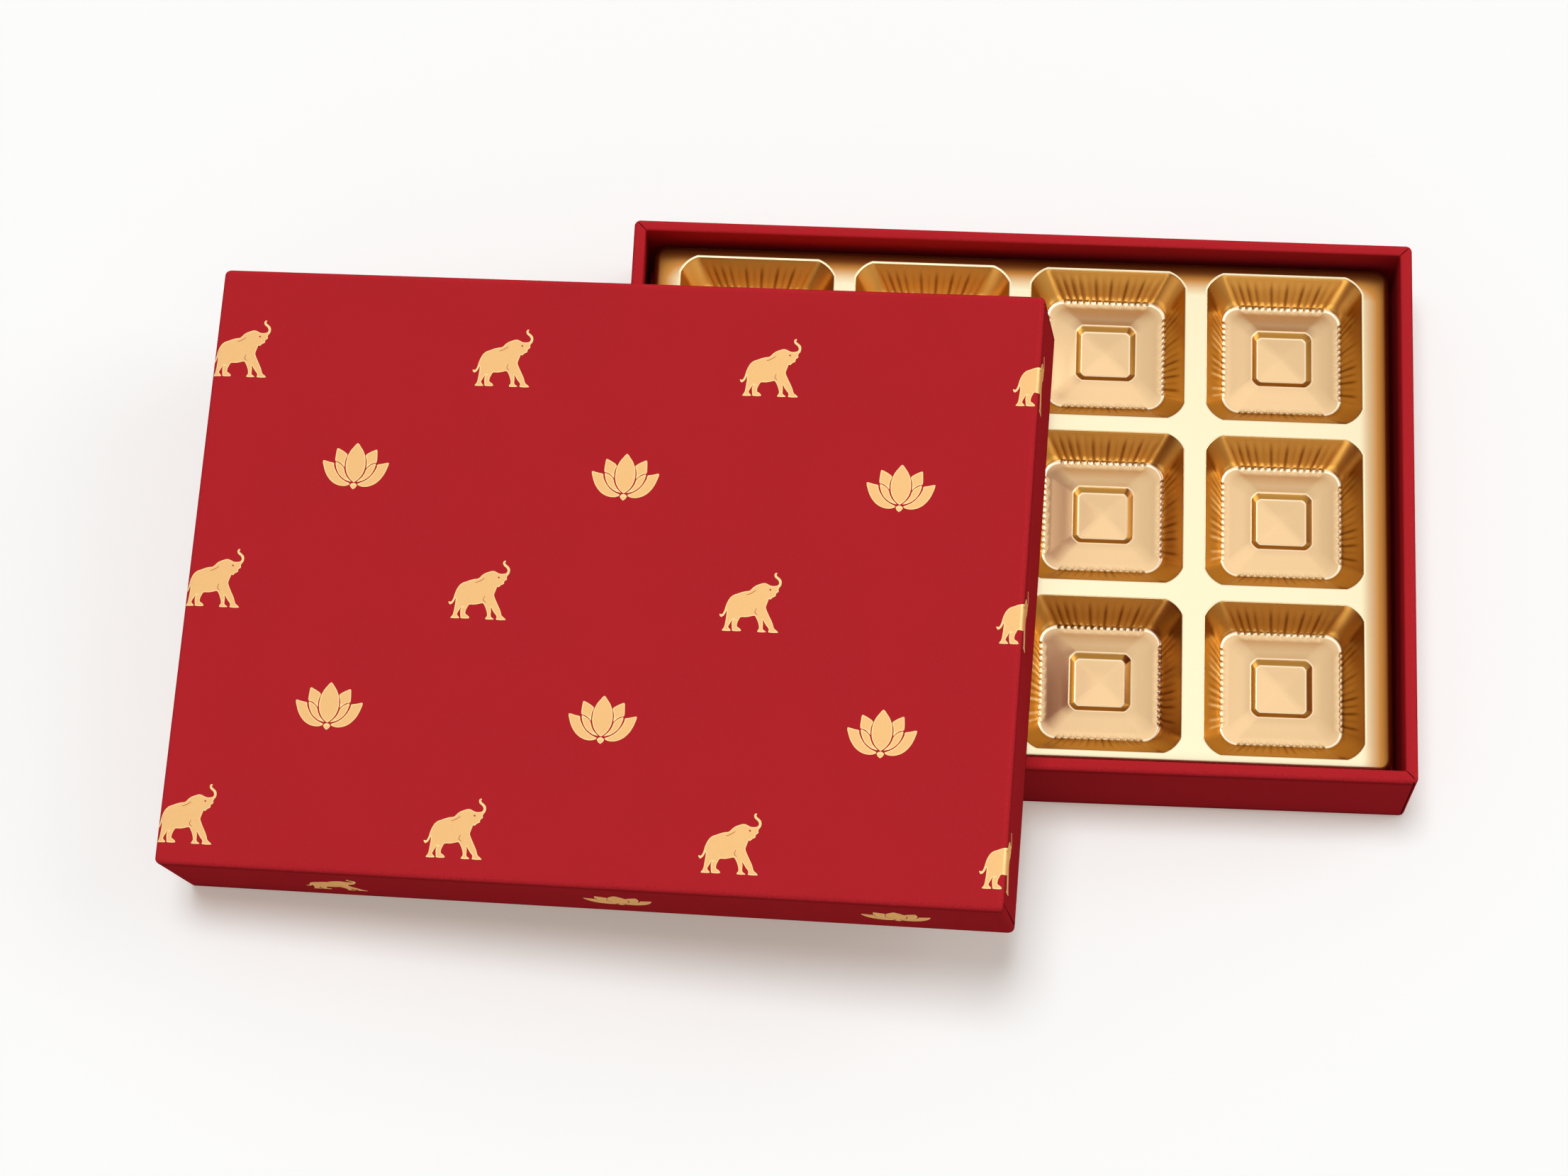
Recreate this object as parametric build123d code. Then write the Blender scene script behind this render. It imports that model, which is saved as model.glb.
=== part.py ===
from build123d import *

import math
import os

# A mithai sweet box: an open tray of paper-wrapped board, a formed sheet insert
# with a grid of cups standing in it, and a lift-off lid that leans on the tray.
# The origin is the centre of the tray's underside, +X runs along the tray's
# length, +Y to its back and +Z up. All sizes are in millimetres.

# Sheet stock, shared by the tray and the lid
PAPER = 0.3
STAY_TAPE = 0.15
STAY_ARM = 16.0
EDGE_RADIUS = 1.2

# The tray, measured over its paper
TRAY_LENGTH = 232.0
TRAY_WIDTH = 168.0
TRAY_HEIGHT = 33.0
TRAY_WALL_BOARD = 3.0
TRAY_FLOOR_BOARD = 2.0
TRAY_TURN_IN = 19.0
TRAY_TURN_UNDER = 15.0
BASE_SHEET_MARGIN = 2.0

# The lid, sized from the tray that it covers
LID_CLEARANCE = 0.9
LID_WALL_BOARD = 2.5
LID_TOP_BOARD = 2.5
LID_HEADROOM = 1.4
LID_TURN_IN = 16.0

# The insert
COLUMNS = 4
ROWS = 3
PITCH_ALONG = 52.5
PITCH_ACROSS = 52.0
CUP_LENGTH = 46.0
CUP_WIDTH = 47.0
CUP_CORNER = 4.5
CUP_DEPTH = 9.6
CUP_FLOOR_LENGTH = 35.0
CUP_FLOOR_WIDTH = 34.4
CUP_FLOOR_CORNER = 3.5
RECESS_MOUTH = 17.6
RECESS_FLOOR = 14.0
RECESS_CORNER = 1.2
RECESS_DEPTH = 0.9
SHEET = 0.5
INSERT_DROP = 7.3
INSERT_END_GAP = 2.6
INSERT_SIDE_GAP = 1.6
SKIRT_FLARE = 1.0
INSERT_CORNER = 4.0
INSERT_EDGE_RADIUS = 1.5

# Where the leaning lid's lowest corner stands, measured from the tray's faces
LID_OUT_LEFT = 119.0
LID_OUT_FRONT = 35.0
LID_TURN = 3.0
REST_GAP = 0.25
LEAN_STEPS = 12

# Only used to run a cut past a face
OVERRUN = 5.0

wall_stack_tray = TRAY_WALL_BOARD + 2 * PAPER
wall_stack_lid = LID_WALL_BOARD + 2 * PAPER
lid_length = TRAY_LENGTH + 2 * (LID_CLEARANCE + wall_stack_lid)
lid_width = TRAY_WIDTH + 2 * (LID_CLEARANCE + wall_stack_lid)
lid_depth = TRAY_HEIGHT + LID_HEADROOM + LID_TOP_BOARD + 2 * PAPER


def box_between(low, high):
    """A box from its lowest to its highest corner."""
    size = [top - bottom for bottom, top in zip(low, high)]
    return Pos(*low) * Box(*size, align=(Align.MIN, Align.MIN, Align.MIN))


def centred_box(length, width, bottom, top):
    """A box centred on the Z axis."""
    return box_between((-length / 2, -width / 2, bottom), (length / 2, width / 2, top))


def soft_block(length, width, bottom, top, radius):
    """A centred box with every edge rounded, as wrapped board is."""
    block = centred_box(length, width, bottom, top)
    return fillet(block.edges(), radius)


def corner_columns(length, width, bottom, top, arm):
    """Four boxes that reach an arm's length in from each vertical edge."""
    columns = []
    for x in (-1, 1):
        for y in (-1, 1):
            low = (x * length / 2 - arm, y * width / 2 - arm, bottom)
            high = (x * length / 2 + arm, y * width / 2 + arm, top)
            columns.append(box_between(low, high))
    return columns


def wrapped_box(prefix, panel, length, width, bottom, top, wall, floor, turn_in, turn_under):
    """An open box of board panels with stays, wrapping paper and lining, open at the top.

    Returns a dictionary from node name to solid. The paper covers the whole
    underside where turn_under is None, and else only a border of that width.
    """
    skin = 2 * PAPER
    board_low = bottom + PAPER
    board_high = top - PAPER
    board_length = length - skin
    board_width = width - skin
    inside_length = board_length - 2 * wall
    inside_width = board_width - 2 * wall
    hollow_length = inside_length - skin
    hollow_width = inside_width - skin
    floor_top = board_low + floor

    envelope = soft_block(board_length, board_width, board_low, board_high, EDGE_RADIUS)
    outer = soft_block(length, width, bottom, top, EDGE_RADIUS + PAPER)
    taped = soft_block(
        board_length + 2 * STAY_TAPE,
        board_width + 2 * STAY_TAPE,
        board_low - STAY_TAPE,
        board_high + STAY_TAPE,
        EDGE_RADIUS + STAY_TAPE,
    )

    half_length = board_length / 2
    half_width = board_width / 2
    long_wall_low = (-half_length, -half_width, board_low)
    long_wall_high = (half_length, -half_width + wall, board_high)
    front = envelope & box_between(long_wall_low, long_wall_high)
    back = mirror(front, about=Plane.XZ)
    side_wall_low = (-half_length, -inside_width / 2, board_low)
    side_wall_high = (-half_length + wall, inside_width / 2, board_high)
    left = envelope & box_between(side_wall_low, side_wall_high)
    right = mirror(left, about=Plane.YZ)
    flat = envelope & centred_box(inside_length, inside_width, board_low, floor_top)

    stay_low = board_low + EDGE_RADIUS
    stay_high = board_high - EDGE_RADIUS
    tape = taped - envelope
    stays = []
    for column in corner_columns(board_length, board_width, stay_low, stay_high, STAY_ARM):
        stays.append(tape & column)

    inside = centred_box(inside_length, inside_width, top - turn_in, board_high + PAPER / 2)
    hollow = centred_box(hollow_length, hollow_width, floor_top + PAPER, top + OVERRUN)
    paper = outer - envelope + inside - hollow
    for stay in stays:
        paper = paper - stay
    if turn_under is not None:
        opening_length = length - 2 * turn_under
        opening_width = width - 2 * turn_under
        paper = paper - centred_box(opening_length, opening_width, bottom - OVERRUN, board_low)

    lining_block = centred_box(inside_length, inside_width, floor_top, top - turn_in)
    lining = lining_block - hollow

    return {
        f"{prefix}_{panel}_board": flat,
        f"{prefix}_front_board": front,
        f"{prefix}_back_board": back,
        f"{prefix}_left_board": left,
        f"{prefix}_right_board": right,
        f"{prefix}_corner_stays": Compound(children=stays),
        f"{prefix}_wrap_paper": paper,
        f"{prefix}_lining_paper": lining,
    }


def tray_pieces():
    """The open tray, standing on its base sheet."""
    pieces = wrapped_box(
        "tray",
        "floor",
        TRAY_LENGTH,
        TRAY_WIDTH,
        PAPER,
        TRAY_HEIGHT,
        TRAY_WALL_BOARD,
        TRAY_FLOOR_BOARD,
        TRAY_TURN_IN,
        TRAY_TURN_UNDER,
    )
    sheet_length = TRAY_LENGTH - 2 * BASE_SHEET_MARGIN
    sheet_width = TRAY_WIDTH - 2 * BASE_SHEET_MARGIN
    pieces["tray_base_sheet"] = centred_box(sheet_length, sheet_width, 0, PAPER)
    return pieces


def frustum(low_size, low_corner, low_z, high_size, high_corner, high_z):
    """A straight-sided block between two rounded rectangles."""
    low = Pos(0, 0, low_z) * RectangleRounded(*low_size, low_corner)
    high = Pos(0, 0, high_z) * RectangleRounded(*high_size, high_corner)
    return loft([low.face(), high.face()], ruled=True)


def insert_pieces():
    """The thin formed sheet: a flange on a flared skirt, with a grid of cups."""
    tray_floor = PAPER + PAPER + TRAY_FLOOR_BOARD + PAPER
    foot = tray_floor + REST_GAP
    face = TRAY_HEIGHT - INSERT_DROP
    length = TRAY_LENGTH - 2 * (wall_stack_tray + INSERT_END_GAP)
    width = TRAY_WIDTH - 2 * (wall_stack_tray + INSERT_SIDE_GAP)

    def skirt(inset, top):
        low_size = (length + 2 * (SKIRT_FLARE - inset), width + 2 * (SKIRT_FLARE - inset))
        high_size = (length - 2 * inset, width - 2 * inset)
        low_corner = INSERT_CORNER + SKIRT_FLARE - inset
        return frustum(low_size, low_corner, foot, high_size, INSERT_CORNER - inset, top)

    outside = skirt(0, face)
    outside = fillet(outside.faces().sort_by(Axis.Z)[-1].edges(), INSERT_EDGE_RADIUS)
    underside = skirt(SHEET, face - SHEET)
    under_edges = underside.faces().sort_by(Axis.Z)[-1].edges()
    underside = fillet(under_edges, INSERT_EDGE_RADIUS - SHEET)
    sheet = outside - underside

    def cup(skin):
        mouth = (CUP_LENGTH + 2 * skin, CUP_WIDTH + 2 * skin)
        floor = (CUP_FLOOR_LENGTH + 2 * skin, CUP_FLOOR_WIDTH + 2 * skin)
        bottom = face - CUP_DEPTH - skin
        recess_mouth = (RECESS_MOUTH + 2 * skin, RECESS_MOUTH + 2 * skin)
        recess_floor = (RECESS_FLOOR + 2 * skin, RECESS_FLOOR + 2 * skin)
        recess_bottom = bottom - RECESS_DEPTH
        corner = RECESS_CORNER + skin
        bowl = frustum(floor, CUP_FLOOR_CORNER + skin, bottom, mouth, CUP_CORNER + skin, face)
        recess = frustum(recess_floor, corner, recess_bottom, recess_mouth, corner, bottom)
        return bowl + recess

    places = GridLocations(PITCH_ALONG, PITCH_ACROSS, COLUMNS, ROWS).locations
    cup_skin = cup(SHEET)
    cup_space = cup(0)
    for place in places:
        sheet = sheet + place * cup_skin
    for place in places:
        sheet = sheet - place * cup_space
    return {"insert_sheet": sheet}


def lean_plane():
    """The plane of the leaning lid's open face.

    The lid's lowest corner stands beside the tray, its back wall lies on the
    tray's left rim and its right wall on the tray's front rim. The slopes that
    bring both walls down on their rims are found by repeated substitution.
    """
    turn = math.radians(-LID_TURN)
    tray_left = -TRAY_LENGTH / 2
    tray_front = -TRAY_WIDTH / 2
    corner_x = tray_left - LID_OUT_LEFT
    corner_y = tray_front - LID_OUT_FRONT
    along_slope = 0
    across_slope = 0
    for _ in range(LEAN_STEPS):
        climb = along_slope * math.cos(turn) + across_slope * math.sin(turn)
        up = Vector(-along_slope, -across_slope, 1).normalized()
        along = Vector(math.cos(turn), math.sin(turn), climb).normalized()
        across = up.cross(along)
        back_run = lid_width - wall_stack_lid
        right_run = lid_length - wall_stack_lid
        back_step = (tray_left - corner_x - across.X * back_run) / along.X
        back_x = tray_left - corner_x
        back_y = across.Y * back_run + along.Y * back_step
        right_step = (tray_front - corner_y - along.Y * right_run) / across.Y
        right_x = along.X * right_run + across.X * right_step
        right_y = tray_front - corner_y
        spread = back_x * right_y - back_y * right_x
        along_slope = TRAY_HEIGHT * (right_y - back_y) / spread
        across_slope = TRAY_HEIGHT * (back_x - right_x) / spread
    return Plane(origin=(corner_x, corner_y, REST_GAP), x_dir=along, z_dir=up)


def lid_pieces():
    """The lid, built as an open box, turned over and leaned on the tray."""
    pieces = wrapped_box(
        "lid",
        "top",
        lid_length,
        lid_width,
        -lid_depth,
        0,
        LID_WALL_BOARD,
        LID_TOP_BOARD,
        LID_TURN_IN,
        None,
    )
    place = lean_plane().location * Pos(lid_length / 2, lid_width / 2, 0)
    return {name: place * mirror(piece, about=Plane.XY) for name, piece in pieces.items()}


def main():
    """Write one file for each piece."""
    os.makedirs("parts", exist_ok=True)
    for name, piece in {**tray_pieces(), **insert_pieces(), **lid_pieces()}.items():
        export_step(piece, f"parts/{name}.step")
        print(name)


if __name__ == "__main__":
    main()
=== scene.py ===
"""The looks of a mithai sweet box: an open tray with a gold cup insert, and its lid leaning on it.

Sizes are in millimetres unless a name ends in _m. Every piece is built in the CAD's own
frame, in metres, with its place in its mesh.
"""

from __future__ import annotations

import logging
import math
from contextlib import contextmanager
from dataclasses import dataclass, field, replace
from enum import Enum
from typing import Any, Callable, Iterable, Iterator, Sequence

import bmesh
import bpy
import numpy as np
from mathutils import Matrix, Vector
from mathutils.geometry import delaunay_2d_cdt

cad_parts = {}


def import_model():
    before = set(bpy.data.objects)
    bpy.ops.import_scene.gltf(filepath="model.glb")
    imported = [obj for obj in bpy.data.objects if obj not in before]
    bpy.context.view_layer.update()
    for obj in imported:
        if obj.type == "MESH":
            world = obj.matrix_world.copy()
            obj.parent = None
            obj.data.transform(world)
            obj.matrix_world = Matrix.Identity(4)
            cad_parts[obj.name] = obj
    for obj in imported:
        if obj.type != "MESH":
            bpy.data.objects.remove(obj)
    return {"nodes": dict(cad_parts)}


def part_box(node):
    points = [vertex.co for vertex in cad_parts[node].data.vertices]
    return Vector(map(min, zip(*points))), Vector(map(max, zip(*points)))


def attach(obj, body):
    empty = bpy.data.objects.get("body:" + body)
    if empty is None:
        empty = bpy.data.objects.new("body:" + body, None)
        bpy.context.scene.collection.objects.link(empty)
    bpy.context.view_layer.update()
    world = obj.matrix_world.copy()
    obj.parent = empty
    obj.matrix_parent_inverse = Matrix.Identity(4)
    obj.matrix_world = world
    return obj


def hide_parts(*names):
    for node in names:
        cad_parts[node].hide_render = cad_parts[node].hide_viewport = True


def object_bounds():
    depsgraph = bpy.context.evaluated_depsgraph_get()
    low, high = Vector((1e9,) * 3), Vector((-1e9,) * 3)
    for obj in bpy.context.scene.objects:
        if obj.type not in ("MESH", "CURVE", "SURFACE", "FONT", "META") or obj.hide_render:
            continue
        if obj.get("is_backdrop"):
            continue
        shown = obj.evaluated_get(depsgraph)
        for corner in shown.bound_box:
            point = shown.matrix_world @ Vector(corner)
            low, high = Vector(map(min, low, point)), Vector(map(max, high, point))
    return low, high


LOG = logging.getLogger("sweet_box")
MM = 0.001
QUARTER = math.pi / 2

Colour = tuple[float, float, float]
Spot = tuple[float, float, float]
Outline = tuple[tuple[float, float], ...]


class Body(Enum):
    """The bodies of the frame that pieces ride on."""

    TRAY = "tray"
    INSERT = "insert"
    LID = "lid"


class Slot(Enum):
    """The material slots that pieces are named with."""

    RED_PAPER = "red_paper"
    GOLD_SHEET = "gold_sheet"


class OpenSide(Enum):
    """Which way a wrapped box opens."""

    UP = 1
    DOWN = -1


def operator_method(operation: str, turned: bool = False) -> Callable[["Wire", Any], "Wire"]:
    """A method that adds one Math node for a Python operator, its sides turned round or not."""

    def method(wire: "Wire", other: Any) -> "Wire":
        """The Math node's result."""
        pair = (other, wire) if turned else (wire, other)
        return wire.bench.node("ShaderNodeMath", {"operation": operation}, dict(enumerate(pair)))

    return method


class Wire:
    """A node's output that takes part in Python sums, adding Math nodes as it goes."""

    def __init__(self, bench: "Bench", socket: bpy.types.NodeSocket) -> None:
        """Keep the bench that makes the nodes and the socket that is wrapped."""
        self.bench = bench
        self.socket = socket

    __add__ = __radd__ = operator_method("ADD")
    __sub__ = operator_method("SUBTRACT")
    __rsub__ = operator_method("SUBTRACT", turned=True)
    __mul__ = __rmul__ = operator_method("MULTIPLY")

    def __abs__(self) -> "Wire":
        """The size of self, whatever its sign."""
        return self.bench.node("ShaderNodeMath", {"operation": "ABSOLUTE"}, {0: self})

    def ramp(self, low: float, high: float, kind: str = "SMOOTHSTEP") -> "Wire":
        """A step from 0 at low to 1 at high, smooth or LINEAR."""
        sockets = {"Value": self, "From Min": low, "From Max": high}
        return self.bench.node("ShaderNodeMapRange", {"interpolation_type": kind}, sockets)

    def sibling(self, title: str) -> "Wire":
        """Another output of the same node."""
        return Wire(self.bench, self.socket.node.outputs[title])


class Bench:
    """Makes the nodes of one node tree."""

    def __init__(self, tree: bpy.types.NodeTree) -> None:
        """Empty the tree and keep it."""
        tree.nodes.clear()
        self.tree = tree

    def node(
        self,
        kind: str,
        settings: dict[str, Any] | None = None,
        sockets: dict[str | int, Any] | None = None,
        out: str | int = 0,
    ) -> Wire:
        """Make one node.

        Args:
            kind: The node's type.
            settings: Properties of the node, set before its sockets.
            sockets: Values or wires for its inputs, by name or place.
            out: The output that the returned wire stands for.

        Returns:
            The wire, or one with no socket where the node has no output.
        """
        made = self.tree.nodes.new(kind)
        for name, value in (settings or {}).items():
            setattr(made, name, value)
        for name, value in (sockets or {}).items():
            if isinstance(value, Wire):
                self.tree.links.new(value.socket, made.inputs[name])
            elif isinstance(value, tuple) and len(made.inputs[name].default_value) > len(value):
                made.inputs[name].default_value = (*value, 1.0)
            else:
                made.inputs[name].default_value = value
        return Wire(self, made.outputs[out] if len(made.outputs) else None)

    def place(self) -> Wire:
        """The place on a piece, in the row's frame."""
        return self.node("ShaderNodeTexCoord", out="Object")

    def attribute(self, name: str) -> Wire:
        """The value of a mesh attribute, 0 where the mesh has none."""
        return self.node("ShaderNodeAttribute", {"attribute_name": name}, out="Fac")

    def direct(self) -> Wire:
        """1 for rays from the camera, from gold and through clear things, and 0 for the rest."""
        path = self.node("ShaderNodeLightPath", out="Is Camera Ray")
        return path + path.sibling("Is Glossy Ray") + path.sibling("Is Transmission Ray")

    def noise(self, place: Wire, size: float, detail: float = 2.0) -> Wire:
        """Noise whose features are size millimetres across, from 0 to 1 about 0.5."""
        sockets = {"Vector": place, "Scale": 1 / (size * MM), "Detail": detail}
        return self.node("ShaderNodeTexNoise", None, sockets, "Fac")

    def blend(self, share: Any, first: Any, second: Any) -> Wire:
        """A colour between two colours."""
        return self.node("ShaderNodeMix", {"data_type": "RGBA"}, {0: share, 6: first, 7: second}, 2)

    def scaled(self, colour: Any, factor: Wire) -> Wire:
        """A colour made lighter or darker by a factor."""
        sockets = {0: colour, "Scale": factor}
        return self.node("ShaderNodeVectorMath", {"operation": "SCALE"}, sockets)

    def bump(self, height: Wire, depth: float, strength: float) -> Wire:
        """A bumped normal, from a height of 0 to 1 that stands for depth millimetres."""
        sockets = {"Strength": strength, "Distance": depth * MM, "Height": height}
        return self.node("ShaderNodeBump", None, sockets)


@dataclass(frozen=True)
class Finish:
    """A kind of surface that can make its material."""

    name: str

    def sockets(self, bench: Bench) -> dict[str, Any]:
        """What goes into the Principled shader's inputs, by their names."""
        raise NotImplementedError

    def make(self) -> bpy.types.Material:
        """A new material with this finish."""
        material = bpy.data.materials.new(self.name)
        material.use_nodes = True
        bench = Bench(material.node_tree)
        shader = bench.node("ShaderNodeBsdfPrincipled", None, self.sockets(bench))
        bench.node("ShaderNodeOutputMaterial", None, {"Surface": shader})
        return material


@dataclass(frozen=True)
class PaperFinish(Finish):
    """Uncoated paper: fine grain, faint clouds, dark seam lines, painted shade on rolled edges, and
    edges lighter with wear and a painted sheen.
    """

    colour: Colour
    roughness: float = 0.5
    roughness_spread: float = 0.1
    grain_size: float = 0.5
    grain_detail: float = 3.0
    grain: float = 0.14
    cloud_size: float = 26.0
    cloud: float = 0.07
    # Edges lighter from wear and a painted sheen.
    edge_wear_and_sheen: float = 0.18
    wear_and_sheen_grain: tuple[float, float] = (0.35, 0.65)
    # Darkens the seam and mitre lines, and paints shade where an edge rolls into a wall.
    crease: float = 0.9
    seams_and_fold_shade_range: tuple[float, float] = (0.0, 0.5)
    relief: float = 0.05
    relief_strength: float = 0.35

    def sockets(self, bench: Bench) -> dict[str, Any]:
        """The paper's inputs."""
        place = bench.place()
        grain = bench.noise(place, self.grain_size, self.grain_detail)
        cloud = bench.noise(place, self.cloud_size)
        seams_and_fold_shade_mask = bench.attribute("crease").ramp(*self.seams_and_fold_shade_range)
        # Wear and painted sheen on rounded edges, broken up by the grain.
        wear_and_sheen_mask = bench.attribute("edge") * grain.ramp(*self.wear_and_sheen_grain)
        light = 1 - (self.grain + self.cloud) / 2 + grain * self.grain + cloud * self.cloud
        light = (light + wear_and_sheen_mask * self.edge_wear_and_sheen) * (1 - seams_and_fold_shade_mask * self.crease)
        spread = self.roughness_spread
        return {
            "Base Color": bench.scaled(self.colour, light),
            "Roughness": self.roughness - spread / 2 + grain * spread,
            "Specular IOR Level": 0.0,
            "Normal": bench.bump(grain, self.relief, self.relief_strength),
        }


@dataclass(frozen=True)
class GoldFinish(Finish):
    """The formed sheet's gold skin: mirror-like on the flange, satin below, in a paler tone on the
    flange and a deeper one on the walls that paint light and shade on one gold.

    It rolls off towards the outline of the flange, whose half sizes it has to be given, and a
    painted reflection of the walls darkens the band along that outline.
    """

    half_length: float
    half_width: float
    # Tones of one gold: the flange's paler one is painted highlight, the walls' deeper one painted
    # shade, the floor's between.
    flange: Colour = (0.81, 0.72, 0.485)
    # Painted reflection of the walls along the flange's outline.
    painted_edge_reflection: Colour = (0.62, 0.27, 0.06)
    wall: Colour = (0.51, 0.26, 0.055)
    floor: Colour = (0.77, 0.53, 0.285)
    # Painted highlight colour for crests, beads and ridges.
    painted_highlight: Colour = (1.0, 0.90, 0.70)
    # Painted shade: the darkest part of that painted reflection, and of painted grooves and recess
    # walls.
    shade: Colour = (0.20, 0.07, 0.012)
    edge_tint: Colour = (1.0, 0.82, 0.52)
    flange_roughness: float = 0.22
    wall_roughness: float = 0.28
    floor_roughness: float = 0.37
    dimple_size: float = 9.0
    dimple_detail: float = 1.0
    dimple_depth: float = 0.02
    satin_size: float = 0.6
    satin_depth: float = 0.008
    satin_tone: float = 0.06
    satin_roughness: float = 0.05
    roll_width: float = 8.0
    roll_drop: float = 1.2
    roll_roughness: float = 0.12
    # How far in from the ends and from the back the painted reflection reaches.
    end_reflection: tuple[float, float] = (9.0, 0.0)
    back_reflection: tuple[float, float] = (10.5, 2.0)
    painted_edge_reflection_share: tuple[float, float] = (0.0, 0.6)
    shade_share: tuple[float, float] = (0.5, 1.2)
    painted_highlight_range: tuple[float, float] = (0.1, 0.9)
    shade_shine: tuple[float, float] = (0.0, 0.9)

    def sockets(self, bench: Bench) -> dict[str, Any]:
        """The gold sheet's inputs."""
        place = bench.place()
        wall, floor, flat, shine = (
            bench.attribute(name) for name in ("wall", "floor", "flat", "shine")
        )
        satin = bench.noise(place, self.satin_size)
        dimples = bench.noise(place, self.dimple_size, self.dimple_detail)
        height = dimples * self.dimple_depth + satin * floor * self.satin_depth
        cream: Any = flat
        sides = (("X", self.half_length, self.end_reflection), ("Y", self.half_width, self.back_reflection))
        for axis, half, (start, end) in sides:
            spot = bench.node("ShaderNodeSeparateXYZ", None, {"Vector": place}, axis)
            roll = abs(spot).ramp((half - self.roll_width) * MM, half * MM, "LINEAR")
            height = height - roll * roll * flat * self.roll_drop
            spot = abs(spot) if axis == "X" else spot
            cream = cream * (1 - spot.ramp((half - start) * MM, (half - end) * MM, "LINEAR"))
        # The band where the walls' reflection is painted; its roughness is raised too.
        painted_reflection_band = flat - cream
        flange = bench.blend(painted_reflection_band.ramp(*self.painted_edge_reflection_share, "LINEAR"), self.flange, self.painted_edge_reflection)
        flange = bench.blend(painted_reflection_band.ramp(*self.shade_share), flange, self.shade)
        colour = bench.blend(floor, bench.blend(wall, flange, self.wall), self.floor)
        # The shine mark paints highlight where above 0 and shade where below 0.
        colour = bench.blend(shine.ramp(*self.painted_highlight_range), colour, self.painted_highlight)
        colour = bench.blend((shine * -1).ramp(*self.shade_shine), colour, self.shade)
        rough = self.flange_roughness + wall * (self.wall_roughness - self.flange_roughness)
        rough = rough + floor * (self.floor_roughness - self.wall_roughness)
        rough = rough + satin * self.satin_roughness + painted_reflection_band * self.roll_roughness
        tone = 1 - self.satin_tone / 2 + satin * self.satin_tone
        return {
            "Base Color": bench.scaled(colour, tone),
            "Metallic": 1.0,
            "Roughness": rough,
            "Specular Tint": self.edge_tint,
            "Normal": bench.bump(height, 1.0, 1.0),
        }


@dataclass(frozen=True)
class FoilFinish(Finish):
    """Hot-stamped gold foil, with a brighter line where the stamp's edge pressed it down."""

    field_colour: Colour = (0.87, 0.52, 0.215)
    line_colour: Colour = (0.96, 0.68, 0.31)
    edge_tint: Colour = (0.85, 0.52, 0.22)
    line: tuple[float, float] = (0.35, 0.95)
    metallic: float = 0.55
    roughness: float = 0.42
    roughness_spread: float = 0.06
    speckle_size: float = 0.7
    speckle: float = 0.1
    relief: float = 0.02
    relief_strength: float = 0.3

    def sockets(self, bench: Bench) -> dict[str, Any]:
        """The foil's inputs."""
        speckle = bench.noise(bench.place(), self.speckle_size)
        line = 1 - bench.attribute("inside").ramp(*self.line)
        colour = bench.blend(line, self.field_colour, self.line_colour)
        tone = 1 - self.speckle / 2 + speckle * self.speckle
        return {
            "Base Color": bench.scaled(colour, tone),
            "Metallic": self.metallic,
            "Specular IOR Level": 0.0,
            "Specular Tint": self.edge_tint,
            "Roughness": self.roughness + speckle * self.roughness_spread,
            "Normal": bench.bump(speckle, self.relief, self.relief_strength),
        }


@dataclass(frozen=True)
class FibreFinish(Finish):
    """Raw board or kraft tape: fibres that run one way, and the board's darker flecks."""

    colour: Colour
    run: Spot
    size: float
    detail: float
    tone: float
    roughness: float
    specular: float
    relief: float
    fleck: float = 0.0
    fleck_colour: Colour = (0.24, 0.22, 0.20)
    fleck_size: float = 0.9
    fleck_detail: float = 1.0
    fleck_share: tuple[float, float] = (0.66, 0.74)
    relief_strength: float = 0.5

    def sockets(self, bench: Bench) -> dict[str, Any]:
        """The board's or tape's inputs."""
        place = bench.place()
        laid = bench.node("ShaderNodeMapping", None, {"Vector": place, "Scale": self.run})
        fibres = bench.noise(laid, self.size, self.detail)
        flecks = bench.noise(place, self.fleck_size, self.fleck_detail).ramp(*self.fleck_share)
        colour = bench.blend(flecks * self.fleck, self.colour, self.fleck_colour)
        return {
            "Base Color": bench.scaled(colour, 1 - self.tone / 2 + fibres * self.tone),
            "Roughness": self.roughness,
            "Specular IOR Level": self.specular,
            "Normal": bench.bump(fibres, self.relief, self.relief_strength),
        }


@dataclass(frozen=True)
class FloorFinish(Finish):
    """The studio's pale table: white to the camera and to the gold, dimmer to the rest."""

    bounce: Colour = (0.58, 0.57, 0.56)
    seen: Colour = (0.64, 0.71, 0.75)
    lift: Colour = (0.33, 0.26, 0.21)
    roughness: float = 0.9

    def sockets(self, bench: Bench) -> dict[str, Any]:
        """The floor's inputs."""
        direct = bench.direct()
        return {
            "Base Color": bench.blend(direct, self.bounce, self.seen),
            "Roughness": self.roughness,
            "Specular IOR Level": 0.0,
            "Emission Color": bench.blend(direct, (0.0, 0.0, 0.0), self.lift),
            "Emission Strength": 1.0,
        }


def link_mesh(name: str, mesh: bpy.types.Mesh, material: bpy.types.Material) -> bpy.types.Object:
    """Put a mesh into the scene as an object at the origin, with one material."""
    mesh.name = name
    made = bpy.data.objects.new(name, mesh)
    bpy.context.scene.collection.objects.link(made)
    mesh.materials.clear()
    mesh.materials.append(material)
    return made


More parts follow.
